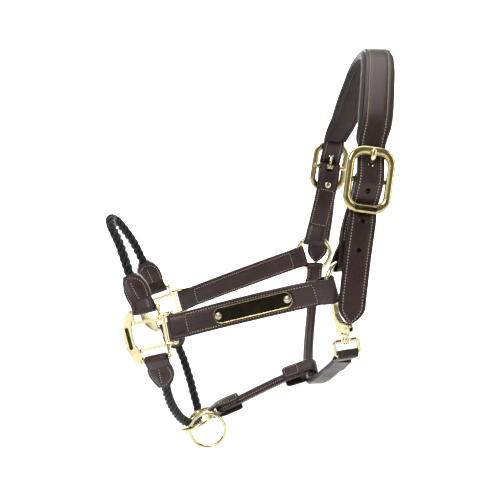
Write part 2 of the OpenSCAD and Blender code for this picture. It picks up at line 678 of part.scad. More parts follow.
module snap_body() {
    color(brass) on_hook() difference() {
        union() {
            translate([0, 0, -5.4]) cylinder(h = 1.6, r = 3.9);
            translate([0, 0, -5.4]) cylinder(h = 14.4, r = 2.5);
            translate([0, 0, boss_h / 2 + 0.3]) cylinder(h = 5, r = 4.2);
            rotate([90, 0, 0]) translate([0, 0, -3.8]) linear_extrude(7.6) hook_outline();
        }
        // Slot that the gate works in, and the pin's hole
        translate([0.5, -2.3, 9.5]) cube([12, 4.6, 12]);
        translate(pin_at) rotate([90, 0, 0]) cylinder(h = 20, r = pin_r + 0.02, center = true);
    }
}
module snap_gate() {
    color(brass) on_hook() difference() {
        union() {
            translate(pin_at) rotate([90, 0, 0]) cylinder(h = gate_t, r = 2.6, center = true);
            rotate([90, 0, 0]) translate([0, 0, -gate_t / 2]) linear_extrude(gate_t)
                polygon([[2.8, 12.5], [6.8, 12.5], [7.2, 18], [10, 19.5], [10, 22.5], [6.4, 24], [5.2, 33],
                    [2.6, 33]]);
        }
        translate(pin_at) rotate([90, 0, 0]) cylinder(h = 10, r = pin_r + 0.08, center = true);
    }
}
module snap_pin() {
    color(antique_brass) on_hook() translate(pin_at) rotate([90, 0, 0])
        cylinder(h = 8.4, r = pin_r, center = true);
}
module snap_spring() {
    color(cord_white) on_hook() translate(pin_at) translate([0, 1.75, 0]) rotate([90, 0, 0])
        rotate_extrude() translate([1.75, 0]) circle(0.35);
}

crown_strap();
crown_padding();
crown_foam();
buckle(near_buckle_at);  // near_buckle
mirror(Y) buckle(far_buckle_at);  // far_buckle
prong(near_buckle_at);  // near_prong
mirror(Y) prong(far_buckle_at);  // far_prong
chape(near_buckle_at, near_ring_at, near_ring_turn);  // near_chape
mirror(Y) chape(far_buckle_at, far_ring_at, far_ring_turn);  // far_chape
chape_rivet(near_buckle_at, near_ring_at);  // near_chape_rivet
mirror(Y) chape_rivet(far_buckle_at, far_ring_at);  // far_chape_rivet
cheek_ring(near_ring_at, near_ring_turn);  // near_cheek_ring
mirror(Y) cheek_ring(far_ring_at, far_ring_turn);  // far_cheek_ring
cheek_strap(near_ring_at, near_ring_turn) hook_room();  // near_cheek_strap
mirror(Y) cheek_strap(far_ring_at, far_ring_turn) lash_room();  // far_cheek_strap
nameplate();
nameplate_rivets();
square_fitting();  // near_square
mirror(Y) square_fitting();  // far_square
nose_tab(near_nose_tip, rope_start(nose_line));  // near_nose_tab
mirror(Y) nose_tab(far_nose_tip, rope_end(nose_line));  // far_nose_tab
nose_rope();
chin_tab(near_chin_tip, rope_start(chin_line));  // near_chin_tab
mirror(Y) chin_tab(far_chin_tip, rope_end(chin_line));  // far_chin_tab
chin_rope();
chin_ring();
lead_ring();
jaw_strap();
jaw_core();
jaw_front_tab();
jaw_rear_tab();
throat_lash();
throat_core();
snap_eye();
snap_body();
snap_gate();
snap_pin();
snap_spring();
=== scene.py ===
"""The looks of the leather headcollar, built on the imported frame. Lengths are in mm until make()."""

import math
import random
from collections import namedtuple

import bpy
from mathutils import Euler, Matrix, Vector, noise


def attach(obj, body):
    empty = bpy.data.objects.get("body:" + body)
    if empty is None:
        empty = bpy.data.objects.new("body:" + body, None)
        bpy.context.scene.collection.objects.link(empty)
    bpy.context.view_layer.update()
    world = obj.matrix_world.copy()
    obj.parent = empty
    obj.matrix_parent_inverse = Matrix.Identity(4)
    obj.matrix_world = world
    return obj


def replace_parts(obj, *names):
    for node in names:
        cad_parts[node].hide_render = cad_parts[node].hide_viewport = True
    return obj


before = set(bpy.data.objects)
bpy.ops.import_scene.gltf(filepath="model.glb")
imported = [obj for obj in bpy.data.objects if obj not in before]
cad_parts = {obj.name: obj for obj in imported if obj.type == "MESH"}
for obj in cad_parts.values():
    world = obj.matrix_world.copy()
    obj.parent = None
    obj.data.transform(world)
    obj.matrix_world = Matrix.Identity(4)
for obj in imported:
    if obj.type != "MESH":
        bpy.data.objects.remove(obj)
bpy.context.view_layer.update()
rng = random.Random(7)

MM = 0.001
# Length of surface to one unit of UV
UV_LENGTH = 10
X, Y, Z = Vector((1, 0, 0)), Vector((0, 1, 0)), Vector((0, 0, 1))

# ---------------------------------------------------------------- driving sizes, as in the CAD
CROWN_W, CROWN_T = 25.5, 3.6
PAD_T = 7.0
HOLE_GAP, HOLE_R = 27.0, 2.3
CHEEK_W, PLY = 25.0, 2.6
LASH_W, LASH_D = 19.0, 12.0
JAW_D, JAW_TAB_W = 10.0, 17.0
CHEEK_RING_R, CHEEK_RING_WIRE = 20.5, 5.5
CHIN_RING_R, CHIN_RING_WIRE = 20.5, 4.5
LEAD_RING_R, LEAD_RING_WIRE = 19.5, 4.0
BUCKLE_W, BUCKLE_H, BUCKLE_OPEN_W, BUCKLE_OPEN_H, BUCKLE_T = 45.0, 61.0, 30.0, 44.5, 6.0
BUCKLE_BAR_R = 2.5
SQUARE_OPEN_W, SQUARE_OPEN_H, SQUARE_T, SQUARE_BAR_R = 30.0, 24.4, 3.6, 2.0
SNAP_EYE_W, SNAP_WIRE_R = 26.4, 1.7
GAP, LEATHER_GAP = 0.3, 0.2
PLY_HALF = PLY / 2 + 0.05
STITCH_INSET = 3.0

# ---------------------------------------------------------------- places, as in the CAD
BUCKLE_TURN = (-5, 7.5, 0)
NEAR_BUCKLE, FAR_BUCKLE = Vector((-24.5, -103, -123.5)), Vector((-25.5, -103, -110.5))
NEAR_RING, NEAR_RING_TURN = Vector((-44, -97, -218.5)), 32
FAR_RING, FAR_RING_TURN = Vector((-44, -101, -218.5)), 10
SQUARE_AT, SQUARE_TURN = Vector((-231.5, -58.5, -278.5)), (-14, -15.5, -13.5)
TOP_BAR, REAR_BAR, BOTTOM_BAR = (-1.5, 0, 26.3), (25.5, 0, 1.8), (1.5, 0, -25.5)
CHIN_RING, CHIN_TILT = Vector((-188, 0, -394)), 26
LEAD_ANGLE, LEAD_LEAN = -39.5, 11
SNAP_AT, SNAP_TURN, HOOK_TURN = Vector((-41, -99, -275)), (0, -9, 0), -45
EYE_BAR_Z = -13.5

Side = namedtuple("Side", "name buckle ring ring_turn mirror")
SIDES = (Side("near", NEAR_BUCKLE, NEAR_RING, NEAR_RING_TURN, False),
         Side("far", FAR_BUCKLE, FAR_RING, FAR_RING_TURN, True))

# ---------------------------------------------------------------- camera
camera = bpy.data.objects.new("camera", bpy.data.cameras.new("camera"))
bpy.context.scene.collection.objects.link(camera)
camera.location = (-0.151, -0.651, -0.114)
camera.rotation_euler = (math.radians(82.4), 0, math.radians(-1.95))
camera.data.lens = 43.2
camera.data.sensor_width = 36
bpy.context.scene.camera = camera


# ---------------------------------------------------------------- points and curves
def turned(r, p):
    return Euler([math.radians(a) for a in r], "XYZ").to_matrix() @ Vector(p)


def placed(at, r, p):
    return Vector(at) + turned(r, p)


def far_side(p):
    return Vector((p[0], -p[1], p[2]))


def smooth(p, n):
    """The curve through the points, with n steps between each two; works on numbers too."""
    out = []
    for i in range(len(p) - 1):
        a, b, c, d = p[max(i - 1, 0)], p[i], p[i + 1], p[min(i + 2, len(p) - 1)]
        for k in range(n):
            t = k / n
            out.append(0.5 * (2 * b + (c - a) * t + (2 * a - 5 * b + 4 * c - d) * t * t
                              + (3 * b - a - 3 * c + d) * t ** 3))
    return out + [p[-1]]


def vectors(points):
    return [Vector(p) for p in points]


def frames(route, sides, closed=False):
    """(point, along, side, normal) at each point of a route."""
    n, out = len(route), []
    for i, p in enumerate(route):
        a = route[(i - 1) % n] if closed else route[max(i - 1, 0)]
        b = route[(i + 1) % n] if closed else route[min(i + 1, n - 1)]
        d = (b - a).normalized()
        s = sides[i] if isinstance(sides, list) else sides
        s = (s - d * s.dot(d)).normalized()
        out.append((p, d, s, d.cross(s)))
    return out


def lengths(points):
    out = [0.0]
    for a, b in zip(points, points[1:]):
        out.append(out[-1] + (b - a).length)
    return out


def resampled(points, step):
    run = lengths(points)
    count = max(2, round(run[-1] / step))
    out, k = [], 0
    for i in range(count + 1):
        want = run[-1] * i / count
        while k < len(run) - 2 and run[k + 1] < want:
            k += 1
        t = (want - run[k]) / max(run[k + 1] - run[k], 1e-9)
        out.append(points[k].lerp(points[k + 1], min(max(t, 0), 1)))
    return out


def bump(x, at, half):
    """1 at x == at, falling smoothly to 0 at the distance half."""
    t = abs(x - at) / half
    return 0.0 if t >= 1 else (1 - t * t) ** 2


def oval(a, b, steps):
    """A section for sweep(): an ellipse with no burnished edge."""
    turns = [2 * math.pi * k / steps for k in range(steps)]
    return [(a * math.cos(t), b * math.sin(t), 0.0) for t in turns]


# ---------------------------------------------------------------- meshes
class Shape:
    """A mesh in the making, with a share of burnished edge per point and lengths as UV."""

    def __init__(self):
        self.v, self.f, self.uv, self.edge, self.slot = [], [], [], [], []

    def add(self, verts, faces, edge=None, uv=None, slot=0):
        base = len(self.v)
        self.v += verts
        self.edge += edge or [0.0] * len(verts)
        for k, face in enumerate(faces):
            self.f.append([base + i for i in face])
            self.uv.append(uv[k] if uv else [(0.0, 0.0)] * len(face))
            self.slot.append(slot)

    def sweep(self, frs, sections, closed=False):
        """Sections are lists of (across, up, edge) going round anticlockwise."""
        around, count = len(sections[0]), len(frs)
        verts = [p + s * a + up * b for (p, _, s, up), section in zip(frs, sections) for a, b, _ in section]
        edge = [e for section in sections for _, _, e in section]
        along = lengths([f[0] for f in frs] + [frs[0][0]])
        outline = [Vector((a, b, 0)) for a, b, _ in sections[count // 2]]
        girth = lengths(outline + outline[:1])
        faces, uv = [], []
        for i in range(count if closed else count - 1):
            k = (i + 1) % count
            for j in range(around):
                l = (j + 1) % around
                faces.append([i * around + j, i * around + l, k * around + l, k * around + j])
                corners = ((i, j), (i, j + 1), (i + 1, j + 1), (i + 1, j))
                uv.append([(along[a] / UV_LENGTH, girth[b] / UV_LENGTH) for a, b in corners])
        if not closed:
            faces += [list(range(around))[::-1], [(count - 1) * around + j for j in range(around)]]
            uv += [[(verts[j].x / UV_LENGTH, verts[j].z / UV_LENGTH) for j in f] for f in faces[-2:]]
        self.add(verts, faces, edge, uv)

    def tube(self, points, r, side=X, facets=12, closed=False):
        radii = r if isinstance(r, list) else [r] * len(points)
        self.sweep(frames(points, side, closed), [oval(q, q, facets) for q in radii], closed)

    def lathe(self, at, axis, side, profile, steps=32, capped=True):
        """Turns a profile of (radius, height) round an axis."""
        axis = Vector(axis).normalized()
        s = (Vector(side) - axis * Vector(side).dot(axis)).normalized()
        t = axis.cross(s)
        verts, faces = [], []
        for r, h in profile:
            for k in range(steps):
                a = 2 * math.pi * k / steps
                verts.append(at + axis * h + (s * math.cos(a) + t * math.sin(a)) * max(r, 0.01))
        for i in range(len(profile) - 1):
            for k in range(steps):
                l = (k + 1) % steps
                faces.append([i * steps + k, i * steps + l, (i + 1) * steps + l, (i + 1) * steps + k])
        if capped:
            faces += [list(range(steps))[::-1], [(len(profile) - 1) * steps + k for k in range(steps)]]
        self.add(verts, faces)

    def ball(self, at, r, steps=16, rows=10):
        turns = [math.pi * k / rows for k in range(rows + 1)]
        bands = [(r * math.sin(t), -r * math.cos(t)) for t in turns]
        self.lathe(at, Z, X, bands, steps)

    def solid(self, outline, place, depth):
        """An outline of (x, z), anticlockwise from the front, as deep as the two depths say."""
        low, high = depth
        n = len(outline)
        verts = [place((x, -high, z)) for x, z in outline] + [place((x, -low, z)) for x, z in outline]
        faces = [list(range(n)), [n + i for i in range(n)][::-1]]
        faces += [[i, n + i, n + (i + 1) % n, (i + 1) % n] for i in range(n)]
        self.add(verts, faces)

    def mesh(self, name, mirror):
        """The bare mesh, in metres, on the near side or mirrored to the far one."""
        mesh = bpy.data.meshes.new(name)
        sign = -1 if mirror else 1
        verts = [(p.x * MM, sign * p.y * MM, p.z * MM) for p in self.v]
        mesh.from_pydata(verts, [], [f[::-1] for f in self.f] if mirror else self.f)
        return mesh

    def make(self, name, body, materials, finish, mirror=False, flat=False):
        """The finished piece, which rides on a body and takes its look from its material slots; the finish
        argument is not used.
        """
        mesh = self.mesh(name, mirror)
        layer = mesh.uv_layers.new(name="UVMap")
        corners = [c for f in self.uv for c in (f[::-1] if mirror else f)]
        layer.data.foreach_set("uv", [x for c in corners for x in c])
        share = mesh.attributes.new("edge", "FLOAT", "POINT")
        share.data.foreach_set("value", self.edge)
        mesh.polygons.foreach_set("use_smooth", [not flat] * len(mesh.polygons))
        mesh.polygons.foreach_set("material_index", self.slot)
        for look in materials:
            mesh.materials.append(look)
        mesh.update()
        piece = bpy.data.objects.new(name, mesh)
        bpy.context.scene.collection.objects.link(piece)
        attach(piece, body)
        return piece


def box(place, x, y, z):
    """A box between two values each of x, y and z."""
    rim = ((x[0], y[0]), (x[1], y[0]), (x[1], y[1]), (x[0], y[1]))
    shape = Shape()
    shape.add([place((a, b, c)) for c in z for a, b in rim],
              [[3, 2, 1, 0], [4, 5, 6, 7], [0, 1, 5, 4], [1, 2, 6, 5], [2, 3, 7, 6], [3, 0, 4, 7]])
    return shape


def baked(piece):
    """Applies a piece's modifiers to its mesh."""
    graph = bpy.context.evaluated_depsgraph_get()
    mesh = bpy.data.meshes.new_from_object(piece.evaluated_get(graph))
    piece.modifiers.clear()
    old, piece.data = piece.data, mesh
    bpy.data.meshes.remove(old)
    return piece


def fused(piece, voxel, rounds):
    """Melts the overlapping parts of a casting into one rounded surface."""
    join = piece.modifiers.new("join", "REMESH")
    join.mode = "VOXEL"
    join.voxel_size = voxel * MM
    join.use_smooth_shade = True
    soften = piece.modifiers.new("soften", "SMOOTH")
    soften.factor = 0.5
    soften.iterations = rounds
    return baked(piece)


def cut(piece, shape, mirror=False):
    """Cuts a shape out of a piece."""
    mesh = shape.mesh("cutter", mirror)
    cutter = bpy.data.objects.new("cutter", mesh)
    bpy.context.scene.collection.objects.link(cutter)
    boolean = piece.modifiers.new("cut", "BOOLEAN")
    boolean.operation = "DIFFERENCE"
    boolean.solver = "EXACT"
    boolean.object = cutter
    baked(piece)
    bpy.data.objects.remove(cutter)
    bpy.data.meshes.remove(mesh)
    return piece


def softened(piece):
    piece.modifiers.new("round", "SUBSURF").levels = 1
    piece.modifiers["round"].render_levels = 1
    return baked(piece)


# ---------------------------------------------------------------- materials
class Look:
    """A procedural material in the making."""

    def __init__(self, name):
        self.material = bpy.data.materials.new(name)
        self.material.use_nodes = True
        tree = self.material.node_tree
        self.nodes, self.link, self.shader = tree.nodes, tree.links.new, tree.nodes["Principled BSDF"]
        self.place = self.nodes.new("ShaderNodeTexCoord").outputs["Object"]

    def node(self, kind, **values):
        made = self.nodes.new(kind)
        for key, value in values.items():
            if key in made.inputs:
                made.inputs[key].default_value = value
            else:
                setattr(made, key, value)
        return made

    def noise(self, scale, detail, roughness, source=None):
        texture = self.node("ShaderNodeTexNoise", Scale=scale, Detail=detail, Roughness=roughness)
        self.link(source or self.place, texture.inputs["Vector"])
        return texture.outputs["Fac"]

    def mapped(self, source, **values):
        """The source coordinates turned and scaled."""
        mapping = self.node("ShaderNodeMapping", **values)
        self.link(source, mapping.inputs["Vector"])
        return mapping.outputs["Vector"]

    def mixed(self, share, first, second):
        mix = self.node("ShaderNodeMix", data_type="FLOAT", Factor=share)
        self.link(first, mix.inputs[2])
        self.link(second, mix.inputs[3])
        return mix.outputs[0]

    def ramp(self, source, stops):
        made = self.nodes.new("ShaderNodeValToRGB")
        while len(made.color_ramp.elements) < len(stops):
            made.color_ramp.elements.new(0.5)
        for stop, (place, colour) in zip(made.color_ramp.elements, stops):
            stop.position = place
            stop.color = (*colour, 1)
        self.link(source, made.inputs["Fac"])
        return made.outputs["Color"]

    def relief(self, height, strength, distance, over=None):
        """A bump of the surface, on top of another one where that is given."""
        made = self.node("ShaderNodeBump", Strength=strength, Distance=distance)
        self.link(height, made.inputs["Height"])
        if over:
            self.link(over, made.inputs["Normal"])
        return made.outputs["Normal"]

    def finished(self, linked, plain):
        """Links what varies to the shader, and sets what is the same all over on its sockets."""
        for key, output in linked.items():
            self.link(output, self.shader.inputs[key])
        for key, value in plain.items():
            self.shader.inputs[key].default_value = value
        return self.material

    def spread(self, source, low, high):
        made = self.node("ShaderNodeMapRange", **{"To Min": low, "To Max": high})
        self.link(source, made.inputs["Value"])
        return made.outputs["Result"]


def leather_material(name, dark, base, light, edge, roughness, grain, coat, tint):
    """Fine grain over slow clouds of tone, darker where an edge is burnished."""
    look = Look(name)
    cloud, fine, pores = look.noise(28, 5, 0.6), look.noise(420, 4, 0.7), look.noise(1700, 3, 0.6)
    cells = look.node("ShaderNodeTexVoronoi", Scale=1150.0, feature="DISTANCE_TO_EDGE")
    look.link(look.place, cells.inputs["Vector"])
    colour = look.ramp(look.mixed(0.45, cloud, fine), [(0.34, dark), (0.5, base), (0.68, light)])
    burnished = look.node("ShaderNodeMix", data_type="RGBA")
    near_edge = look.node("ShaderNodeAttribute", attribute_name="edge").outputs["Fac"]
    look.link(near_edge, burnished.inputs["Factor"])
    look.link(colour, burnished.inputs[6])
    burnished.inputs[7].default_value = (*edge, 1)
    creases = look.ramp(cells.outputs["Distance"], [(0.0, (0, 0, 0)), (0.14, (1, 1, 1))])
    surface = look.relief(look.mixed(0.35, creases, pores), grain, 0.0003)
    linked = {"Base Color": burnished.outputs[2],
              "Roughness": look.spread(fine, roughness - 0.07, roughness + 0.1),
              "Normal": look.relief(cloud, 0.25, 0.0012, surface)}
    return look.finished(linked, {"Specular IOR Level": 0.34, "Specular Tint": (*tint, 1),
                                  "Coat Weight": coat, "Coat Roughness": 0.25})


def brass_material(name, base, deep, roughness, tarnish):
    """Polished metal with clouds of tarnish, smears and fine polishing lines."""
    look = Look(name)
    stretch = look.mapped(look.place, Scale=(1.0, 0.12, 0.5), Rotation=(0.4, 0.9, 0.3))
    colour = look.ramp(look.noise(60, 6, 0.65), [(0.5 - tarnish, deep), (0.62, base)])
    smear = look.spread(look.noise(350, 4, 0.6), roughness * 0.6, roughness * 1.6)
    lines = look.relief(look.noise(900, 2, 0.5, stretch), 0.06, 0.0002)
    return look.finished({"Base Color": colour, "Roughness": smear, "Normal": lines}, {"Metallic": 1})


def fibre_material(name, dark, base, light, lines, roughness, sheen):
    """Twisted fibres: fine lines that run round a strand or thread, from its UV lengths."""
    look = Look(name)
    uv = look.node("ShaderNodeUVMap", uv_map="UVMap").outputs["UV"]
    yarn = look.noise(lines, 3, 0.6, look.mapped(uv, Rotation=(0, 0, 0.55), Scale=(1.2, 9.0, 1)))
    tone = look.mixed(0.35, yarn, look.noise(160, 3, 0.6))
    colour = look.ramp(tone, [(0.35, dark), (0.5, base), (0.66, light)])
    return look.finished(
        {"Base Color": colour, "Normal": look.relief(yarn, 0.6, 0.0003)},
        {"Roughness": roughness, "Specular IOR Level": 0.25, "Sheen Weight": sheen, "Sheen Roughness": 0.4})


LEATHER = leather_material("bridle leather", (0.011, 0.0058, 0.0052), (0.021, 0.0110, 0.0102),
                           (0.034, 0.0185, 0.0175), (0.006, 0.0035, 0.003), 0.34, 0.26, 0.14,
                           (0.92, 0.72, 0.70))
LINING = leather_material("lining leather", (0.010, 0.0072, 0.0062), (0.017, 0.0126, 0.0110),
                          (0.028, 0.021, 0.0185), (0.010, 0.0075, 0.007), 0.42, 0.4, 0.03, (0.8, 0.66, 0.6))
BRASS = brass_material("polished brass", (0.69, 0.62, 0.38), (0.60, 0.52, 0.29), 0.12, 0.08)
ANTIQUE = brass_material("cast brass", (0.60, 0.50, 0.25), (0.43, 0.34, 0.15), 0.14, 0.05)
PLATE = brass_material("dark plate", (0.075, 0.068, 0.040), (0.045, 0.040, 0.024), 0.10, 0.06)
RIVET = brass_material("rivet brass", (0.66, 0.58, 0.42), (0.50, 0.42, 0.29), 0.20, 0.05)
# Painted shade: the colour of the plain recesses, which are dark slabs laid on the metal and not cut
RECESS_SHADE = brass_material("painted recess shade", (0.045, 0.036, 0.020), (0.02, 0.016, 0.01), 0.35, 0.05)
ROPE = fibre_material("twisted rope", (0.0015, 0.0015, 0.002), (0.004, 0.004, 0.005),
                      (0.014, 0.014, 0.019), 3.0, 0.38, 0.04)
THREAD = fibre_material("beige thread", (0.28, 0.21, 0.11), (0.47, 0.38, 0.23),
                        (0.62, 0.53, 0.36), 6.0, 0.6, 0.3)
DARK_THREAD = fibre_material("olive thread", (0.12, 0.10, 0.055), (0.23, 0.19, 0.11),
                             (0.33, 0.28, 0.17), 6.0, 0.6, 0.2)


# ---------------------------------------------------------------- ropes
def rope(name, route, node_name):
    """Three twisted strands along the route, as one mesh, with a few loose fibres."""
    pitch, strand_r, centre_r = 22.0, 2.4, 2.65
    line = resampled(smooth(vectors(route), 12), 0.9)
    run = lengths(line)
    frs = frames(line, X)
    sections = []
    for u in run:
        yarns = []
        for q in range(16):
            a = 2 * math.pi * q / 16
            r = strand_r * (1 + 0.045 * math.cos(5 * a - 0.55 * u))
            yarns.append((r * math.cos(a), r * math.sin(a), 0.0))
        sections.append(yarns)
    shape = Shape()
    for k in range(3):
        strand = []
        for (p, _, s, up), u in zip(frs, run):
            a = 2 * math.pi * (u / pitch + k / 3)
            strand.append(p + (s * math.cos(a) + up * math.sin(a)) * centre_r)
        shape.sweep(frames(strand, [s for _, _, s, _ in frs]), sections)
    piece = shape.make(name, "straps", [ROPE], "rope")
    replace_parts(piece, node_name)
    hair = Shape()
    for _ in range(260):
        p, d, s, up = frs[rng.randrange(4, len(frs) - 8)]
        a = rng.uniform(0, 2 * math.pi)
        out = s * math.cos(a) + up * math.sin(a)
        turn = up * math.cos(a) - s * math.sin(a)
        start = p + out * 4.6
        way = (d * rng.uniform(-1, 1) + turn * rng.uniform(-1, 1)).normalized()
        size = rng.uniform(1.5, 4.5)
        lift = rng.uniform(0.15, 0.9)
        bow = [start + way * size * t + out * lift * math.sin(2.2 * t) for t in (0, 0.33, 0.66, 1)]
        hair.tube(bow, [0.06, 0.05, 0.04, 0.02], side=out, facets=3)
    hair.make(name + "_fibres", "straps", [ROPE], "rope")


NOSE_ROUTE = [(-246.8, -45.6, -233.5), (-253, -42, -220.5), (-258.5, -38.8, -205),
              (-265.5, -31, -188), (-273.5, -20.5, -175), (-278, -9, -167.5), (-278, 2, -166),
              (-274.5, 12, -170), (-270, 21, -178), (-263, 31, -191.5), (-257.5, 38.5, -205),
              (-251.5, 42.5, -220.5), (-246.8, 45.6, -233.5)]
CHIN_ROUTE = [(-219.8, -60.6, -321.5), (-217.6, -57, -331), (-216.3, -51, -344), (-213, -39, -362),
              (-207.5, -24, -379.5), (-202, -11.5, -391), (-195.5, 0, -399), (-191, 12, -403.6),
              (-189, 23, -404.2), (-189.5, 34, -397.5), (-194.5, 44, -383), (-201, 54, -363),
              (-208.5, 61, -342), (-214.5, 63.5, -328), (-217, 64.2, -320)]
rope("nose_rope_strands", NOSE_ROUTE, "nose_rope")
rope("chin_rope_strands", CHIN_ROUTE, "chin_rope")


# ---------------------------------------------------------------- leather sections and stitches
def strap_section(w, t, inset=STITCH_INSET, crown=0.3, groove=0.22, edge=0.85, under=True):
    """A strap's cross-section: crowned faces, rounded burnished edges and a crease per row."""
    e = min(edge, 0.45 * t, w / 4)
    h = t / 2
    side = h - crown
    x = max(w / 2 - inset, 0.8)
    g = min(0.75, x * 0.45)
    marks = [w / 2 - e, x + g, x + g * 0.4, x - g * 0.4, x - g, x * 0.55, 0.0]

    def up(k, a):
        dip = groove if k in (2, 3) else 0.0
        return h - crown * (2 * a / w) ** 2 - dip

    ends = [(w / 2 - e * 0.29, e * 0.29), (w / 2, e)]
    right = [(a, -(side - b), 1.0) for a, b in ends] + [(a, side - b, 1.0) for a, b in ends[::-1]]
    top = [(a, up(k, a), 0.7 if k == 0 else 0.0) for k, a in enumerate(marks)]
    top += [(-a, b, e_) for a, b, e_ in top[-2::-1]]
    left = [(-a, -b, s) for a, b, s in right]
    base = [(-a, -(b if under else h - crown * (2 * a / w) ** 2), s) for a, b, s in top]
    return right + top + left + base


class Thread(Shape):
    """Stitches, each one a short bowed length of thread whose ends sink into the leather."""

    def stitch(self, at, way, up, size, r=0.36):
        way = way.normalized()
        side = way.cross(up).normalized()
        verts = []
        bow = ((-1, 0.35, -0.34), (-0.6, 0.9, 0.0), (0, 1, 0.1), (0.6, 0.9, 0.0), (1, 0.35, -0.34))
        for t, share, lift in bow:
            for k in range(6):
                a = math.pi * k / 3
                verts.append(at + way * t * size / 2 + side * r * share * math.cos(a)
                             + up * (lift + r * 0.85 * share * math.sin(a)))
        faces = [[i * 6 + j, i * 6 + (j + 1) % 6, (i + 1) * 6 + (j + 1) % 6, (i + 1) * 6 + j]
                 for i in range(4) for j in range(6)]
        faces += [list(range(6))[::-1], [24 + j for j in range(6)]]
        uv = [[(verts[q].dot(way) / 10, verts[q].dot(side) / 10) for q in f] for f in faces]
        self.add(verts, [f[::-1] for f in faces], uv=[u[::-1] for u in uv])

    def row(self, points, ups, pitch=2.75, slant=0.12):
        """Stitches along a line of points with its normals."""
        run = lengths(points)
        if run[-1] < pitch:
            return
        count = max(1, round(run[-1] / pitch))
        k = 0
        for i in range(count):
            want = run[-1] * (i + 0.5) / count
            while k < len(run) - 2 and run[k + 1] < want:
                k += 1
            t = (want - run[k]) / max(run[k + 1] - run[k], 1e-9)
            p = points[k].lerp(points[k + 1], t)
            up = ups[k].lerp(ups[k + 1], t).normalized()
            way = (points[k + 1] - points[k]).normalized()
            way = (way + up.cross(way) * (slant + rng.uniform(-0.05, 0.05))).normalized()
            self.stitch(p, way, up, size=pitch * 0.66 + rng.uniform(-0.08, 0.08))

    def strap_rows(self, frs, w, t, both=True, inset=STITCH_INSET, pitch=2.75, crown=0.3, ends=True):
        """Rows along both edges of a stretch of strap, joined across at its ends."""
        widths = w if isinstance(w, list) else [w] * len(frs)
        for face in ((1, -1) if both else (1,)):
            lines = []
            for sign in (1, -1):
                pts = []
                for (p, _, s, up), width in zip(frs, widths):
                    x = max(width / 2 - inset, 0.8)
                    high = t / 2 - crown * (2 * x / width) ** 2 - 0.1
                    pts.append(p + s * sign * x + up * high * face)
                lines.append(pts)
                self.row(pts, [up * face for _, _, _, up in frs], pitch)
            if ends:
                for i in (0, -1):
                    self.row([lines[0][i].lerp(lines[1][i], q) + frs[i][3] * face * 0.22 * bump(q, 0.5, 0.6)
                              for q in (0.06, 0.3, 0.5, 0.7, 0.94)], [frs[i][3] * face] * 5, pitch)

    def sewn(self, name, look=THREAD, mirror=False):
        self.make(name, "straps", [look], "leather", mirror)


# ---------------------------------------------------------------- crown strap and its padding
def tail_in_buckle(at):
    return [placed(at, BUCKLE_TURN, (0, y, z)) for y, z in
            ((0.2, -38), (3.4, -25.5), (-3.5, -12.5), (-8, 0), (-3.5, 12.5), (3.3, 26), (2.9, 38))]


NEAR_TAIL = vectors([(-40.5, -115, -256), (-39.9, -114.8, -249), (-39.2, -114.5, -241),
                     (-37.5, -113.4, -223), (-33.5, -109.5, -190)])
FAR_TAIL = vectors([(-40, -112.5, -233), (-39.5, -112.2, -226), (-38.7, -111.8, -218),
                    (-36, -110.5, -202), (-32.5, -108, -174)])
CROWN_TOP = vectors([(-16.5, -95.5, -71), (-12.8, -84, -52), (-8.6, -68, -31), (-4.6, -52, -13.5),
                     (-1.6, -34, 1.5), (0, -14, 8.3), (0, 14, 8.3), (-1.6, 34, 1.5), (-4.6, 52, -13.5),
                     (-8.6, 68, -31), (-12.8, 84, -52)])
crown_route = (NEAR_TAIL + tail_in_buckle(NEAR_BUCKLE) + CROWN_TOP
               + [far_side(p) for p in (FAR_TAIL + tail_in_buckle(FAR_BUCKLE))][::-1])
CROWN_STEPS = 10
crown_line = smooth(crown_route, CROWN_STEPS)
TIP_ROUND = 18.0
CROWN_INSET = 3.8
PRONG_HOLE_R, PRONG_HOLE_L = 2.95, 12
FIRST_HOLE_Z = 16.7
# (wider than the hole, above the leather) round each hole's pressed rim
HOLE_RIM = [(1.0, -0.2), (0.95, 0.05), (0.5, 0.16), (0.1, 0.02), (-0.05, -0.3), (-0.02, -0.5)]
# The first frame of the route that the padding covers, as in the CAD
PAD_FROM = 31 * CROWN_STEPS // 3 + 1


def crown_sides(line):
    """The strap lies square to the buckles' bars, and level across the poll."""
    share = [min(max(-(p.z + 40) / 40, 0), 1) for p in line]
    return [X * (1 - q) + turned(BUCKLE_TURN, X) * q for q in share]


def tip_width(s, w):
    return w if s > TIP_ROUND else max(1.6, w * (1 - (1 - s / TIP_ROUND) ** 2))


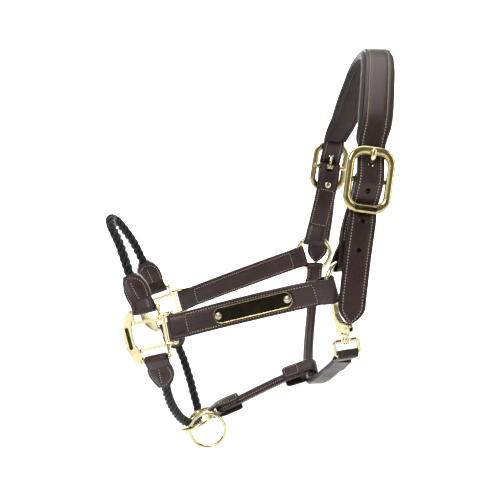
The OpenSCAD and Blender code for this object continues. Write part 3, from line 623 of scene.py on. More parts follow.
def crown_holes(frs):
    """The cutters for each side's four holes, the pressed rims of its three strap holes, and a plug of dark
    lining leather inside each of those: painted shade, as the holes go through.
    """
    cutters, rims, hole_shade_plugs = [], Shape(), Shape()
    for side in SIDES:
        out, centre, turn = -1, side.buckle, BUCKLE_TURN
        if side.mirror:
            out, centre, turn = 1, far_side(centre), (-BUCKLE_TURN[0], BUCKLE_TURN[1], 0)
        # The prong's own hole lies along the prong where it comes through the strap
        way = turned(turn, (0, out * 0.72, 0.70))
        cutters.append(Shape())
        cutters[-1].lathe(placed(centre, turn, (0, out * 2.97, 14.0)) - way * PRONG_HOLE_L / 2, way, X,
                          [(PRONG_HOLE_R, 0), (PRONG_HOLE_R, PRONG_HOLE_L)], 20)
        axis = turned(turn, Y)
        for k in (1, 2, 3):
            mid = placed(centre, turn, (0, 0, FIRST_HOLE_Z - k * HOLE_GAP))
            cutters.append(Shape())
            cutters[-1].lathe(mid - axis * 20, axis, X, [(HOLE_R, 0), (HOLE_R, 40)], 24)
            p, d, s, up = min(frs, key=lambda f: (f[0] - mid).cross(axis).length)
            inner = p + d * (mid - p).dot(d) + s * (mid - p).dot(s) + up * 0.8
            # A plug of dark lining leather that closes the hole: painted shade where the hole goes through
            hole_shade_plugs.lathe(inner, up, s, [(HOLE_R + 0.3, 0), (HOLE_R + 0.3, 0.3)], 20)
            for face in (-1, 1):
                at = p + up * face * (CROWN_T / 2 - 0.02)
                at += d * (mid - at).dot(d) + s * (mid - at).dot(s)
                rims.lathe(at, up * face, s, [(HOLE_R + a, b) for a, b in HOLE_RIM], 28, capped=False)
    rims.edge = [0.6] * len(rims.v)
    return cutters, rims, hole_shade_plugs


def crown_strap():
    # Extra points at the tips so that their rounding is smooth
    first, last = crown_line[:2], crown_line[-2:]
    line = ([first[0].lerp(first[1], t) for t in (0, 0.2, 0.5)] + crown_line[1:-1]
            + [last[1].lerp(last[0], t) for t in (0.5, 0.2, 0)])
    frs = frames(line, crown_sides(line))
    run = lengths(line)
    widths = [tip_width(min(u, run[-1] - u), CROWN_W) for u in run]
    shape = Shape()
    shape.sweep(frs, [strap_section(w, CROWN_T, CROWN_INSET) for w in widths])
    piece = shape.make("crown_strap_leather", "straps", [LEATHER], "leather")
    cutters, rims, hole_shade_plugs = crown_holes(frs)
    # Each hole is cut on its own, so that two cutters never touch
    for cutter in cutters:
        cut(piece, cutter)
    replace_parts(piece, "crown_strap")
    rims.make("crown_hole_rims", "straps", [LEATHER], "leather")
    # Dark plugs that close the holes: painted shade
    hole_shade_plugs.make("crown_hole_painted_shade_plugs", "straps", [LINING], "lining")
    thread = Thread()
    # The rows run on both faces and meet at the tips
    thread.strap_rows(frs[4:-4], widths[4:-4], CROWN_T, inset=CROWN_INSET, ends=False)
    for i in (4, len(frs) - 5):
        p, _, s, up = frs[i]
        x = max(widths[i] / 2 - CROWN_INSET, 0.8)
        for face in (1, -1):
            high = up * face * (CROWN_T / 2 - 0.12)
            thread.row([p + s * x + high, p - s * x + high], [up * face] * 2)
    thread.sewn("crown_stitches")


def pad_section(share):
    """The padded lining: rolled edges beside the strap and a sewn channel along each edge."""
    half = [(0, 3.4), (3.2, 3.4), (6.2, 3.1), (8.4, 2.4), (9.3, 1.75), (9.75, 1.5), (10.2, 1.75), (11.1, 2.5),
            (13.0, 3.4), (14.8, 3.1), (16.1, 2.0), (16.6, 0.4), (16.4, -1.5), (15.6, -3.2), (14.4, -4.1),
            (12.9, -4.1), (11.7, -3.5), (10.9, -2.85), (10.1, -2.85), (9.3, -3.4), (6.5, -4.0), (0, -4.2)]
    half = [(a * share[0], b * share[1], 0.0) for a, b in half]
    return half[::-1] + [(-a, b, e) for a, b, e in half[1:-1]]


def crown_padding():
    whole = frames(crown_line, crown_sides(crown_line))
    middle = [p + up * (CROWN_T / 2 + PAD_T / 2 + 0.5) for p, _, _, up in whole[PAD_FROM:-PAD_FROM]]
    run = lengths(middle)
    frs = frames(middle, X)
    sections = []
    for u in run:
        # The pad closes in at its ends, and narrows a little on the way there
        t = min(1.0, min(u, run[-1] - u) / 9.0)
        round_end = math.sqrt(max(1 - (1 - t) ** 2, 0.0))
        far = min(1.0, min(u, run[-1] - u) / 45)
        share = ((0.72 + 0.28 * round_end) * (1 - 0.16 * (1 - far) ** 2), 0.18 + 0.82 * round_end)
        section = []
        for a, b, e in pad_section(share):
            puff = noise.noise(Vector((a * 0.10, u * 0.16, 3.1))) * 0.30
            crease = noise.noise(Vector((a * 0.05, u * 0.55, 8.7))) * 0.16
            grow = (puff + crease) * t
            wider, higher = (0.35 if a > 0 else -0.35) * grow, (1 if b > 0 else -0.2) * grow
            section.append((a + wider, b + higher, e))
        sections.append(section)
    shape = Shape()
    shape.sweep(frs, sections)
    piece = shape.make("crown_padding_lining", "straps", [LINING], "lining")
    softened(piece)
    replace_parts(piece, "crown_padding", "crown_foam")
    thread = Thread()
    inner = frs[6:-6]
    for sign in (1, -1):
        thread.row([p + s * sign * 9.75 + up * 1.55 for p, _, s, up in inner], [f[3] for f in inner])
        thread.row([p + s * sign * 10.5 - up * 2.85 for p, _, s, up in inner], [-f[3] for f in inner])
    thread.sewn("crown_padding_stitches", DARK_THREAD)


crown_strap()
crown_padding()


# ---------------------------------------------------------------- folded straps
def fold_route(at, d, n, r, reach, half, ease, steps=16):
    waist = half + (r - half) * ease[1]
    turn = [at + n * r * math.cos(math.pi * k / steps) - d * r * math.sin(math.pi * k / steps)
            for k in range(steps + 1)]
    return ([at + d * (reach + 1) + n * half, at + d * reach * ease[0] + n * waist] + turn
            + [at + d * reach * ease[0] - n * waist, at + d * (reach + 1) - n * half])


def eased_fold(at, d, n, r, reach, half, ease=(0.55, 0.62)):
    """A fold's route with its plies easing together."""
    whole = fold_route(at, d, n, r, reach, half, ease)
    return smooth(whole[:3], 5)[:-1] + whole[2:-2] + smooth(whole[-3:], 5)[1:]


def fold_r(bar_r, slack=GAP):
    return bar_r + slack + PLY / 2


def ring_sag(r, w):
    return r - math.sqrt(r * r - w * w / 4)


def ring_plane(turn):
    return Vector((math.cos(math.radians(turn)), math.sin(math.radians(turn)), 0))


def folded_strap(middle, end_a, end_b, w, late=1):
    """The closed route of a strap folded at both ends, and the frames of its middle."""
    n = len(middle) - 1
    sides = [end_a[2] * (1 - (i / n) ** late) + end_b[2] * (i / n) ** late for i in range(n + 1)]
    mid = frames(middle, sides)
    faces = [d.cross(s) for _, d, s, _ in mid]
    round_a, round_b = (eased_fold(at, way, side.cross(way).normalized(), r, reach, PLY_HALF)[2:-2]
                        for at, way, side, r, reach in (end_a, end_b))
    upper = [mid[i][0] + faces[i] * PLY_HALF for i in range(n + 1)]
    lower = [mid[i][0] - faces[i] * PLY_HALF for i in range(n, -1, -1)]
    route = upper + round_b + lower + round_a
    all_sides = sides + [end_b[2]] * len(round_b) + sides[::-1] + [end_a[2]] * len(round_a)
    loop = frames(route, all_sides, closed=True)
    shape = Shape()
    shape.sweep(loop, [strap_section(w, PLY, crown=0.22, under=False)] * len(loop), closed=True)
    return shape, mid


def stretch(frs, start, stop):
    """The frames of a route between two of its lengths, with negative ones from its end."""
    run = lengths([f[0] for f in frs])
    stop = run[-1] + stop if stop <= 0 else stop
    return [f for f, u in zip(frs, run) if start <= u <= stop]


def square_way(v):
    return turned(SQUARE_TURN, v)


def at_square(p):
    return placed(SQUARE_AT, SQUARE_TURN, p)


CHEEK_WAY = Vector((0.924, -0.259, 0.278))


def cheek_strap(side):
    c, s = math.cos(math.radians(side.ring_turn)), math.sin(math.radians(side.ring_turn))
    pull_way = Vector((-CHEEK_WAY.x * c * c, -CHEEK_WAY.x * c * s, -CHEEK_WAY.z)).normalized()
    pull = side.ring + pull_way * CHEEK_RING_R
    rear = pull + (side.ring - pull).normalized() * ring_sag(CHEEK_RING_R, CHEEK_W) * 0.75
    rear_side = Vector((-s, c, 0)).cross(pull - side.ring).normalized()
    front = at_square(REAR_BAR)
    along = (rear - front).normalized()
    start_way = (square_way(X) + along).normalized()
    start, finish = front + start_way * 13, rear - along * 11
    gap = finish - start
    lift = Vector((0, 1, 0.6))
    middle = resampled(smooth([start, start + gap * 0.33 + lift, start + gap * 0.67 + lift, finish], 12), 3.0)
    shape, mid = folded_strap(middle, (front, start_way, square_way(Z), fold_r(SQUARE_BAR_R), 13),
                              (rear, -along, rear_side, fold_r(CHEEK_RING_WIRE / 2, 1.2), 11), CHEEK_W)
    piece = shape.make(side.name + "_cheek_leather", "straps", [LEATHER], "leather", side.mirror)
    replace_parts(piece, side.name + "_cheek_strap")
    thread = Thread()
    thread.strap_rows(stretch(mid, 2.0, -0.1), CHEEK_W, 2 * PLY_HALF + PLY, crown=0.22)
    thread.sewn(side.name + "_cheek_leather_stitches", mirror=side.mirror)


for side in SIDES:
    cheek_strap(side)

CHAPE_TOP_WAY = turned(BUCKLE_TURN, (0, 0.385, -0.925)).normalized()
CHAPE_LOW_WAY = Vector((0.22, -0.03, 0.975)).normalized()


def on_buckle(side):
    return lambda p: placed(side.buckle, BUCKLE_TURN, p)


def chape_middle(side):
    low = side.ring + Vector((0.5, 0, CHEEK_RING_R - ring_sag(CHEEK_RING_R, CHEEK_W)))
    start, finish = side.buckle + CHAPE_TOP_WAY * 18, low + CHAPE_LOW_WAY * 18
    return low, smooth([start, (start + finish) / 2 + Vector((0, 2.4, 0)), finish], 12)


def chape(side):
    low, middle = chape_middle(side)
    top_fold = (side.buckle, CHAPE_TOP_WAY, turned(BUCKLE_TURN, X), fold_r(BUCKLE_BAR_R), 18)
    low_fold = (low, CHAPE_LOW_WAY, ring_plane(side.ring_turn), fold_r(CHEEK_RING_WIRE / 2, 1), 18)
    shape, mid = folded_strap(resampled(middle, 3.0), top_fold, low_fold, CHEEK_W, 2)
    piece = shape.make(side.name + "_chape_leather", "straps", [LEATHER], "leather", side.mirror)
    # The slot that the prong's coil turns in
    cut(piece, box(on_buckle(side), (-4.2, 4.2), (-9, 7), (-6, 10)), side.mirror)
    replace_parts(piece, side.name + "_chape")
    thread = Thread()
    thread.strap_rows(stretch(mid, 9.0, -1.0), CHEEK_W, 2 * PLY_HALF + PLY, crown=0.22)
    thread.sewn(side.name + "_chape_leather_stitches", mirror=side.mirror)


for side in SIDES:
    chape(side)


# ---------------------------------------------------------------- rope tabs
def ridge_height(x, w, ridge, flange):
    """Half the tab's thickness at x: a flat flange that rises to a ridge over the rope."""
    return flange / 2 + (ridge - flange) / 2 * math.exp(-((x / (w * 0.27)) ** 4))


def tab_section(w, ridge, flange, crease):
    """A tab's cross-section: flat sewn flanges and a ridge where the rope lies inside."""
    e = min(0.9, flange * 0.22)
    x = max(w / 2 - STITCH_INSET, 1.0)
    marks = [w / 2 - e, x + 0.6, x, x - 0.6, w * 0.30, w * 0.22, w * 0.14, w * 0.07, 0.0]

    def up(a):
        return ridge_height(a, w, ridge, flange) - crease * bump(a, x, 0.7)

    top = [(a, up(a), 0.6 if k == 0 else 0.0) for k, a in enumerate(sorted(set(marks), reverse=True))]
    top += [(-a, b, s) for a, b, s in top[-2::-1]]
    side = up(w / 2 - e)
    right = [(w / 2 - e * 0.29, -(side - e * 0.29), 1.0), (w / 2, -(side - e), 1.0),
             (w / 2, side - e, 1.0), (w / 2 - e * 0.29, side - e * 0.29, 1.0)]
    return right + top + [(-a, -b, s) for a, b, s in right + top]


def rope_tab(side, kind, bar, tip):
    at = at_square(bar)
    along = (tip - at).normalized()
    across = square_way(X)
    reach = 9.0
    shape = Shape()
    n = along.cross((across - along * across.dot(along)).normalized())
    fold = eased_fold(at, along, n, fold_r(SQUARE_BAR_R, 0.3), reach, PLY_HALF, (0.7, 0.4))
    section = strap_section(CHEEK_W - 1.4, PLY, crown=0.2, under=False)
    shape.sweep(frames(fold, -across), [section] * len(fold))
    start = at + along * (reach - 1.2)
    steps = 26
    frs = frames([start.lerp(tip, i / steps) for i in range(steps + 1)], across)
    # Width, thickness over the rope and thickness at the flanges, from the fold to the tip
    profile = [smooth(values, 5) for values in ([23.8, 26.0, 27.0, 26.6, 24.0, 19.5, 13.0],
                                                [5.4, 6.6, 9.4, 12.4, 13.6, 13.4, 12.8],
                                                [5.4, 5.0, 4.6, 4.6, 5.4, 7.6, 11.8])]
    sizes = [[values[round(i * (len(values) - 1) / steps)] for values in profile] for i in range(steps + 1)]
    shape.sweep(frs, [tab_section(w, ridge, min(flange, ridge), 0.25) for w, ridge, flange in sizes])
    name = f"{side.name}_{kind}_tab"
    piece = shape.make(name + "_leather", "straps", [LEATHER], "leather", side.mirror)
    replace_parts(piece, name)
    thread = Thread()
    last = len(frs) - 4
    rise = list(range(2, last + 1))
    for face in (1, -1):
        arch, ups = [], []
        for sign, ids in ((1, rise), (-1, rise[::-1])):
            for i in ids:
                p, _, s, up = frs[i]
                w, ridge, flange = sizes[i]
                close = math.sqrt(max(1 - (max(i - last + 7, 0) / 7) ** 2, 0))
                x = max(w / 2 - 2.7, 1.0) * close
                arch.append(p + s * sign * x + up * face * (ridge_height(x, w, ridge, flange) - 0.1))
                ups.append((up * face + s * sign * 0.35 * close).normalized())
        thread.row(arch, ups, 2.6)
        spine = range(3, len(frs) - 7)
        thread.row([frs[i][0] + frs[i][3] * face * (sizes[i][1] / 2 + 0.02) for i in spine],
                   [frs[i][3] * face for i in spine], 2.6)
    thread.sewn(name + "_leather_stitches", mirror=side.mirror)


for kind, bar, route in (("nose", TOP_BAR, NOSE_ROUTE), ("chin", BOTTOM_BAR, CHIN_ROUTE)):
    for side, tip in zip(SIDES, (Vector(route[1]), far_side(route[-2]))):
        rope_tab(side, kind, bar, tip)


# ---------------------------------------------------------------- rolled straps
def rolled_section(a, b, power, fin, facets=28):
    """An oval from round (power 2) to flat (power 6), with a sewn fin at -a."""
    out = []
    for k in range(facets):
        t = 2 * math.pi * k / facets
        c, s = math.cos(t), math.sin(t)
        x = a * math.copysign(abs(c) ** (2 / power), c)
        y = b * math.copysign(abs(s) ** (2 / power), s)
        if fin > 0 and c < -0.6:
            f = (-c - 0.6) / 0.4
            x -= fin * f
            y = y * (1 - 0.35 * f) if abs(y) > 0.9 else y
        flat = 1.0 if power > 3 and abs(c) > 0.97 else 0.0
        out.append((x, y, max(flat, 1.0 if fin > 0 and c < -0.96 else 0.0)))
    return out


CHIN_BACK = CHIN_RING + turned((0, -CHIN_TILT, 0), (CHIN_RING_R, 0, 0))
JAW_WAY = Vector((0.925, 0.05, 0.375)).normalized()
JAW_FOLD = CHIN_BACK - JAW_WAY * ring_sag(CHIN_RING_R, JAW_TAB_W)
JAW_ROUTE = vectors([(-160, 0.5, -381.1), (-149, 1, -376.6), (-120, 5, -363.5), (-91, 8.5, -351),
                     (-71, 9.6, -344.2)])
JAW_LOOP = Vector((-60, 10, -340.6))
JAW_LOOP_WAY = Vector((-0.95, 0, -0.31)).normalized()
LASH_WAY = Vector((0.02, -0.87, -0.49)).normalized()


def jaw_strap():
    line = resampled(smooth(JAW_ROUTE, 10), 2.0)
    frs = frames(line, Y)
    nose = [line[0] - (line[1] - line[0]).normalized() * q for q in (7.4, 6, 4, 2)]
    shape = Shape()
    shape.sweep(frames(nose + line, Y), [rolled_section((JAW_D / 2 - 0.6) * q, JAW_D / 2 * q, 2, 1.6 * q)
                                         for q in [0.4, 0.6, 0.8, 0.95] + [1] * len(line)])
    piece = shape.make("jaw_strap_leather", "straps", [LEATHER], "leather")
    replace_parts(piece, "jaw_strap", "jaw_core")
    thread = Thread()
    for face in (1, -1):
        thread.row([p - s * (JAW_D / 2 - 0.2) + up * face * 1.95 for p, _, s, up in frs],
                   [(up * face - s * 0.9).normalized() for _, _, s, up in frs], 2.6)
    thread.sewn("jaw_strap_stitches")


def ply_fold(node_name, at, way, side, r, reach, half, w, rows, ease=(0.55, 0.62), roll=0):
    """A tab folded round something, its two plies lying on a rolled strap and turning with it."""
    s = (side - way * side.dot(way)).normalized()
    fine, sides = [], []
    for p in resampled(eased_fold(at, way, way.cross(s), r, reach, half, ease), 0.9):
        share = min(max(((p - at).dot(way) - 4) / (reach - 4), 0), 1)
        spin = Matrix.Rotation(math.radians(roll) * share * (2 - share), 3, way)
        fine.append(at + spin @ (p - at))
        sides.append(spin @ -side)
    frs = frames(fine, sides)
    run = lengths(fine)
    widths = []
    for u in run:
        end = min(u, run[-1] - u)
        widths.append(w if end > 5 else max(w * 0.45, w * (0.62 + 0.38 * math.sqrt(1 - (1 - end / 5) ** 2))))
    shape = Shape()
    shape.sweep(frs, [strap_section(q, PLY, inset=2.6, crown=0.3, under=False) for q in widths])
    piece = shape.make(node_name + "_leather", "straps", [LEATHER], "leather")
    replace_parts(piece, node_name)
    thread = Thread()
    for ply in (stretch(frs, 2.5, rows), stretch(frs, run[-1] - rows, -2.5)):
        thread.strap_rows(ply, w, PLY, both=False, inset=2.6, pitch=2.6)
    thread.sewn(node_name + "_leather_stitches")


jaw_strap()
ply_fold("jaw_front_tab", JAW_FOLD, JAW_WAY, Y, fold_r(CHIN_RING_WIRE / 2, 0.5), 33,
         JAW_D / 2 + LEATHER_GAP + PLY / 2, JAW_TAB_W - 3.5, 24, (0.32, 0.02), roll=18)
ply_fold("jaw_rear_tab", JAW_LOOP, JAW_LOOP_WAY, LASH_WAY, LASH_D / 2 + 0.7 + PLY / 2, 30,
         JAW_D / 2 + 2 * LEATHER_GAP + PLY / 2, JAW_TAB_W, 18)

LASH_ROUTE = vectors([(-45.4, 98, -251.5), (-46, 94.5, -264), (-47.3, 86, -281), (-50, 74, -296.5),
                      (-53, 61, -309.5), (-56.2, 45, -321.6), (-58.6, 30, -330.4), (-60, 17.5, -336.8),
                      (-60, 2.5, -344.6), (-58.5, -8, -346.6), (-55, -20, -342.6), (-50, -34, -333),
                      (-45.4, -49, -321), (-42, -64, -310.3), (-39.8, -79, -299.7)])
LASH_HALF_W = [9.5, 9, 6.6, 6, 6, 6, 6, 6, 6, 8, 9.3, 9.5, 9.5, 9.5, 9.5]
LASH_HALF_T = [2.8, 3.4, 5.6, 6, 6, 6, 6, 6, 6, 4.4, 3.2, 2.8, 2.3, 1.9, 1.8]
LASH_FOLD, LASH_FOLD_WAY = Vector((-42.6, 101.3, -236.6)), Vector((-0.08, -0.2, -0.98)).normalized()
LASH_END_WAY = Vector((-0.05, 0.88, -0.47)).normalized()
EYE_BAR = placed(SNAP_AT, SNAP_TURN, (0, 0, EYE_BAR_Z))
# The point of the route where the tongue starts
TONGUE_FROM = 12


def flatness(half_w, half_t):
    """0 where the lash is rolled round, 1 where it is flat."""
    return min(max((half_w / half_t - 1.0) / 1.2, 0), 1)


def lash_rows(thread, frs, half_w, half_t):
    """One row along the rolled fin, and a second beside it where the lash is flat."""
    for sign in (1, -1):
        for face in (1, -1):
            points, ups = [], []
            for (p, _, s, up), a, b in zip(frs, half_w, half_t):
                flat = flatness(a, b)
                x = a - 2.7 * flat - 1.6 * (1 - flat)
                high = (b - 0.15) * flat + 3.9 * (1 - flat)
                points.append(p + s * sign * x + up * face * high)
                ups.append((up * face + s * sign * 1.1 * (1 - flat)).normalized())
            whole = list(range(len(frs)))
            runs = [whole]
            if sign > 0:
                wide = [i for i in whole if half_w[i] / half_t[i] > 1.7]
                runs = [[i for i in wide if i < len(frs) // 2], [i for i in wide if i > len(frs) // 2]]
            for ids in runs:
                if len(ids) > 2:
                    thread.row([points[i] for i in ids], [ups[i] for i in ids], 2.6)


def throat_lash():
    steps = 8
    half_w, half_t = smooth(LASH_HALF_W, steps), smooth(LASH_HALF_T, steps)
    frs = frames(smooth(LASH_ROUTE, steps), X)
    sections = []
    for a, b in zip(half_w, half_t):
        flat = flatness(a, b)
        fin = 1.5 * (1 - flat)
        sections.append(rolled_section(a - fin * 0.55, b - 0.1, 2 + 4 * flat, fin))
    shape = Shape()
    shape.sweep(frs, sections)
    ends = []
    for at, way, side, r, reach in (
            (LASH_FOLD, LASH_FOLD_WAY, ring_plane(-FAR_RING_TURN), fold_r(CHEEK_RING_WIRE / 2, 0.5), 15),
            (EYE_BAR, LASH_END_WAY, turned(SNAP_TURN, X), fold_r(SNAP_WIRE_R), 22)):
        s = (side - way * side.dot(way)).normalized()
        route = resampled(eased_fold(at, way, way.cross(s), r, reach, PLY_HALF), 0.9)
        ends.append(frames(route, -side))
        shape.sweep(ends[-1], [strap_section(LASH_W, PLY, crown=0.2, under=False)] * len(route))
    # The sewn tongue of the end at the snap, on the strap's outer face
    last = slice(TONGUE_FROM * steps + 1, None)
    line = resampled([p - up * (t + 0.8) for (p, _, _, up), t in zip(frs[last], half_t[last])], 0.9)
    tongue = frames(line, -X)
    round_end = [math.sqrt(1 - (1 - min(u, 9) / 9) ** 2) for u in lengths(line)]
    widths = [(LASH_W - 1) * max(0.2, share) for share in round_end]
    shape.sweep(tongue, [strap_section(w, 1.9, crown=0.2, under=False) for w in widths])
    piece = shape.make("throat_lash_leather", "straps", [LEATHER], "leather")
    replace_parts(piece, "throat_lash", "throat_core")
    thread = Thread()
    lash_rows(thread, frs, half_w, half_t)
    thread.strap_rows(stretch(ends[0], 1, 14), LASH_W, PLY, both=False, inset=2.7, crown=0.2, ends=False)
    thread.strap_rows(tongue[4:16], widths[4:16], 1.9, both=False, inset=4.0, crown=0.2, pitch=2.3)
    thread.sewn("throat_lash_stitches")


throat_lash()


# ---------------------------------------------------------------- brass: rings
def circle_points(at, across, up, r, steps):
    turns = [2 * math.pi * k / steps for k in range(steps)]
    return [at + (across * math.cos(t) + up * math.sin(t)) * r for t in turns]


def ring(name, body, at, across, up, r, wire, weld, mirror=False):
    """A drawn-wire ring with the slight swelling of its brazed joint at the angle weld."""
    steps = 120
    from_weld = [(k * 360 / steps - weld) % 360 for k in range(steps)]
    radii = [wire / 2 * (1 + 0.02 * bump(a, 0, 7) + 0.02 * bump(a, 360, 7)) for a in from_weld]
    shape = Shape()
    shape.tube(circle_points(at, across, up, r, steps), radii, across.cross(up), 20, closed=True)
    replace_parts(shape.make(name + "_wire", body, [BRASS], "brass", mirror), name)


for side, weld in zip(SIDES, (95, 270)):
    ring(side.name + "_cheek_ring", side.name + "_ring", side.ring, ring_plane(side.ring_turn), Z,
         CHEEK_RING_R, CHEEK_RING_WIRE, weld, side.mirror)
CHIN_TURN = (0, -CHIN_TILT, 0)
ring("chin_ring", "chin_ring", CHIN_RING, turned(CHIN_TURN, X), Y, CHIN_RING_R, CHIN_RING_WIRE, 150)
hook_way = (math.cos(math.radians(LEAD_ANGLE)), math.sin(math.radians(LEAD_ANGLE)), 0)
hook_at = placed(CHIN_RING, CHIN_TURN, [CHIN_RING_R * q for q in hook_way])
lead_centre = placed(hook_at, (0, LEAD_LEAN, 0), (0, 0, 4.9 - LEAD_RING_R))
ring("lead_ring", "lead_ring", lead_centre, X, Z, LEAD_RING_R, LEAD_RING_WIRE, 210)


# ---------------------------------------------------------------- brass: buckles
FRAME_SECTION = [(0.5, 0), (0.47, 1.3), (0.38, 2.3), (0.2, 2.9), (0, 3.0), (-0.15, 2.85), (-0.27, 2.45),
                 (-0.325, 2.0), (-0.365, 2.05), (-0.42, 2.3), (-0.47, 2.1), (-0.5, 1.3), (-0.5, -1.5),
                 (-0.44, -2.7), (0.38, -2.7), (0.48, -1.5)]


def rounded_oblong(half_x, half_z, r, arc=10, straight=6):
    """Points (x, z), clockwise seen from the front: each corner's arc and then the next straight."""
    arcs = []
    for cx, cz, start in ((half_x - r, half_z - r, 90), (half_x - r, r - half_z, 0),
                          (r - half_x, r - half_z, -90), (r - half_x, half_z - r, -180)):
        turns = [math.radians(start - 90 * k / arc) for k in range(arc + 1)]
        arcs.append([(cx + r * math.cos(t), cz + r * math.sin(t)) for t in turns])
    out = []
    for here, after in zip(arcs, arcs[1:] + arcs[:1]):
        a, b = here[-1], after[0]
        out += here + [(a[0] + (b[0] - a[0]) * k / straight, a[1] + (b[1] - a[1]) * k / straight)
                       for k in range(1, straight)]
    return out


def buckle(side):
    place = on_buckle(side)
    half_x, half_z = (BUCKLE_W + BUCKLE_OPEN_W) / 4, (BUCKLE_H + BUCKLE_OPEN_H) / 4
    path = rounded_oblong(half_x, half_z, 12)
    depth = 1.5 + BUCKLE_T / 2
    points, sides, sections = [], [], []
    for i, (x, z) in enumerate(path):
        a, b = path[i - 1], path[(i + 1) % len(path)]
        along = Vector((b[0] - a[0], 0, b[1] - a[1])).normalized()
        outward = along.cross(-Y)
        points.append(place((x, -depth, z)))
        sides.append(turned(BUCKLE_TURN, -outward if outward.dot(Vector((x, 0, z))) < 0 else outward))
        level = abs(along.x)
        w = 7.0 * (1 - level) + 8.25 * level
        sections.append([(across * w, up, 0.0) for across, up in FRAME_SECTION])
    shape = Shape()
    shape.sweep(frames(points, sides, True), sections, closed=True)
    bar = [place((x, 0, 0)) for x in (-19, -18.5, -10, 0, 10, 18.5, 19)]
    shape.tube(bar, [2.0] + [BUCKLE_BAR_R] * 5 + [2.0], turned(BUCKLE_TURN, Z), 20)
    lug = ((-2.7, -3.2), (-1.6, -3.5), (1.6, -3.5), (2.7, -3.2),
           (2.7, 3.2), (1.6, 3.5), (-1.6, 3.5), (-2.7, 3.2))
    for s in (-1, 1):
        shape.solid([(s * 18.2 + x, z) for x, z in lug], place, (-2.6, 3.2))
    name = side.name + "_buckle"
    piece = shape.make(name + "_cast", name, [ANTIQUE], "antique_brass", side.mirror)
    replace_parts(piece, name)
    softened(piece)
    # Plain lozenge recess on the lower end bar, drawn as a dark slab laid on its face: painted shade, the
    # recess is not cut
    inlay = Shape()
    outline = rounded_oblong(10.5, 1.9, 1.8, 6, 3)[::-1]
    inlay.solid([(x, z - half_z + 0.2) for x, z in outline], place, (depth + 2.4, depth + 3.02))
    inlay.make(name + "_cast_recess", name, [RECESS_SHADE], "antique_brass", side.mirror)


for side in SIDES:
    buckle(side)


def prong(side):
    place = on_buckle(side)
    along = turned(BUCKLE_TURN, X)
    route = smooth(vectors([(0, 1, 3.4), (0, 0.5, 8), (0, -1.3, 13), (0, -5.4, 17), (0, -9.2, 21),
                            (0, -9.9, 28.6)]), 5)
    n = len(route) - 1
    shape = Shape()
    shape.sweep(frames([place(p) for p in route], along),
                [oval((1.75 + 0.75 * bump(i / n, 0.9, 0.55)) * min(1, 0.35 + (n - i) * 0.4),
                      1.65 * min(1, 0.4 + (n - i) * 0.4), 16) for i in range(n + 1)])
    # The coil: two turns of the prong's wire round the bar
    half = [(1.75, 0, 0), (1.6, 0.7, 0), (1, 0.92, 0), (-1, 0.92, 0), (-1.6, 0.7, 0)]
    wire = half + [(-a, -b, e) for a, b, e in half]
    for x in (-1.8, 1.8):
        turn = circle_points(place((x, 0, 0)), turned(BUCKLE_TURN, Y), turned(BUCKLE_TURN, Z), 3.75, 40)
        shape.sweep(frames(turn, along, True), [wire] * len(turn), closed=True)
    name = side.name + "_prong"
    piece = shape.make(name + "_wire", name, [BRASS], "brass", side.mirror)
    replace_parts(piece, name)
    softened(piece)


for side in SIDES:
    prong(side)


def chape_rivet(side):
    _, middle = chape_middle(side)
    centre = middle[3]
    out = (middle[6] - middle[0]).cross(turned(BUCKLE_TURN, X)).normalized()
    shape = Shape()
    dome = [(0.5, 2.6), (3.9, 2.65), (4.0, 3.0), (3.6, 3.55), (2.6, 4.05), (1.3, 4.3), (0.2, 4.35)]
    burr = [(0.5, 1.8), (3.1, 1.9), (3.2, 2.4), (2.7, 2.75), (1.2, 2.7), (0.9, 2.85), (0.1, 2.9)]
    shape.lathe(centre, -out, X, dome)
    shape.lathe(centre, out, X, burr)
    shape.lathe(centre - out * 2.6, out, X, [(1.4, 0), (1.4, 5.0)], 16)
    name = side.name + "_chape_rivet"
    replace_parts(shape.make(name + "_dome", "straps", [BRASS], "brass", side.mirror), name)


for side in SIDES:
    chape_rivet(side)


# ---------------------------------------------------------------- brass: nameplate
PLATE_AT, PLATE_TURN = Vector((-129.5, -90.9, -244.3)), (-5, -16.2, -14.3)
PLATE_W, PLATE_H, PLATE_T, PLATE_RIVET_X = 79.0, 15.5, 1.4, 35.0


def nameplate():
    place = lambda p: placed(PLATE_AT, PLATE_TURN, p)
    outline = rounded_oblong(PLATE_W / 2, PLATE_H / 2, 6.6, 8, 8)
    inner = rounded_oblong(PLATE_W / 2 - 0.45, PLATE_H / 2 - 0.45, 6.2, 8, 8)
    face = [(x * 0.996, z * 0.975) for x, z in inner]
    rings = ((outline, 0.05), (outline, PLATE_T - 0.35), (inner, PLATE_T), (face, PLATE_T - 0.06))
    n = len(outline)
    verts = [place((x, -y, z)) for points, y in rings for x, z in points]
    faces = [[r * n + (i + 1) % n, (r + 1) * n + (i + 1) % n, (r + 1) * n + i, r * n + i]
             for r in range(len(rings) - 1) for i in range(n)]
    shape = Shape()
    shape.add(verts, faces, slot=1)
    shape.add(verts[-n:], [list(range(n))[::-1]])
    shape.add(verts[:n], [list(range(n))])
    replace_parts(shape.make("nameplate_plate", "straps", [PLATE, ANTIQUE], "plate", flat=True), "nameplate")
    heads = Shape()
    axis = turned(PLATE_TURN, -Y)
    head = [(3.45, 0.02), (3.5, 0.35), (3.2, 0.75), (2.5, 0.95), (2.2, 0.8), (1.9, 0.95), (1.0, 1.15),
            (0.1, 1.2)]
    for s in (-1, 1):
        heads.lathe(place((s * PLATE_RIVET_X, 0, 0)) + axis * PLATE_T, axis, X, head, 36)
    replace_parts(heads.make("nameplate_rivet_heads", "straps", [RIVET], "rivet"), "nameplate_rivets")


nameplate()


# ---------------------------------------------------------------- brass: squares
def curved(points, steps=6):
    """A smooth outline of (x, z) through the points."""
    return [tuple(p) for p in smooth(vectors(points), steps)]


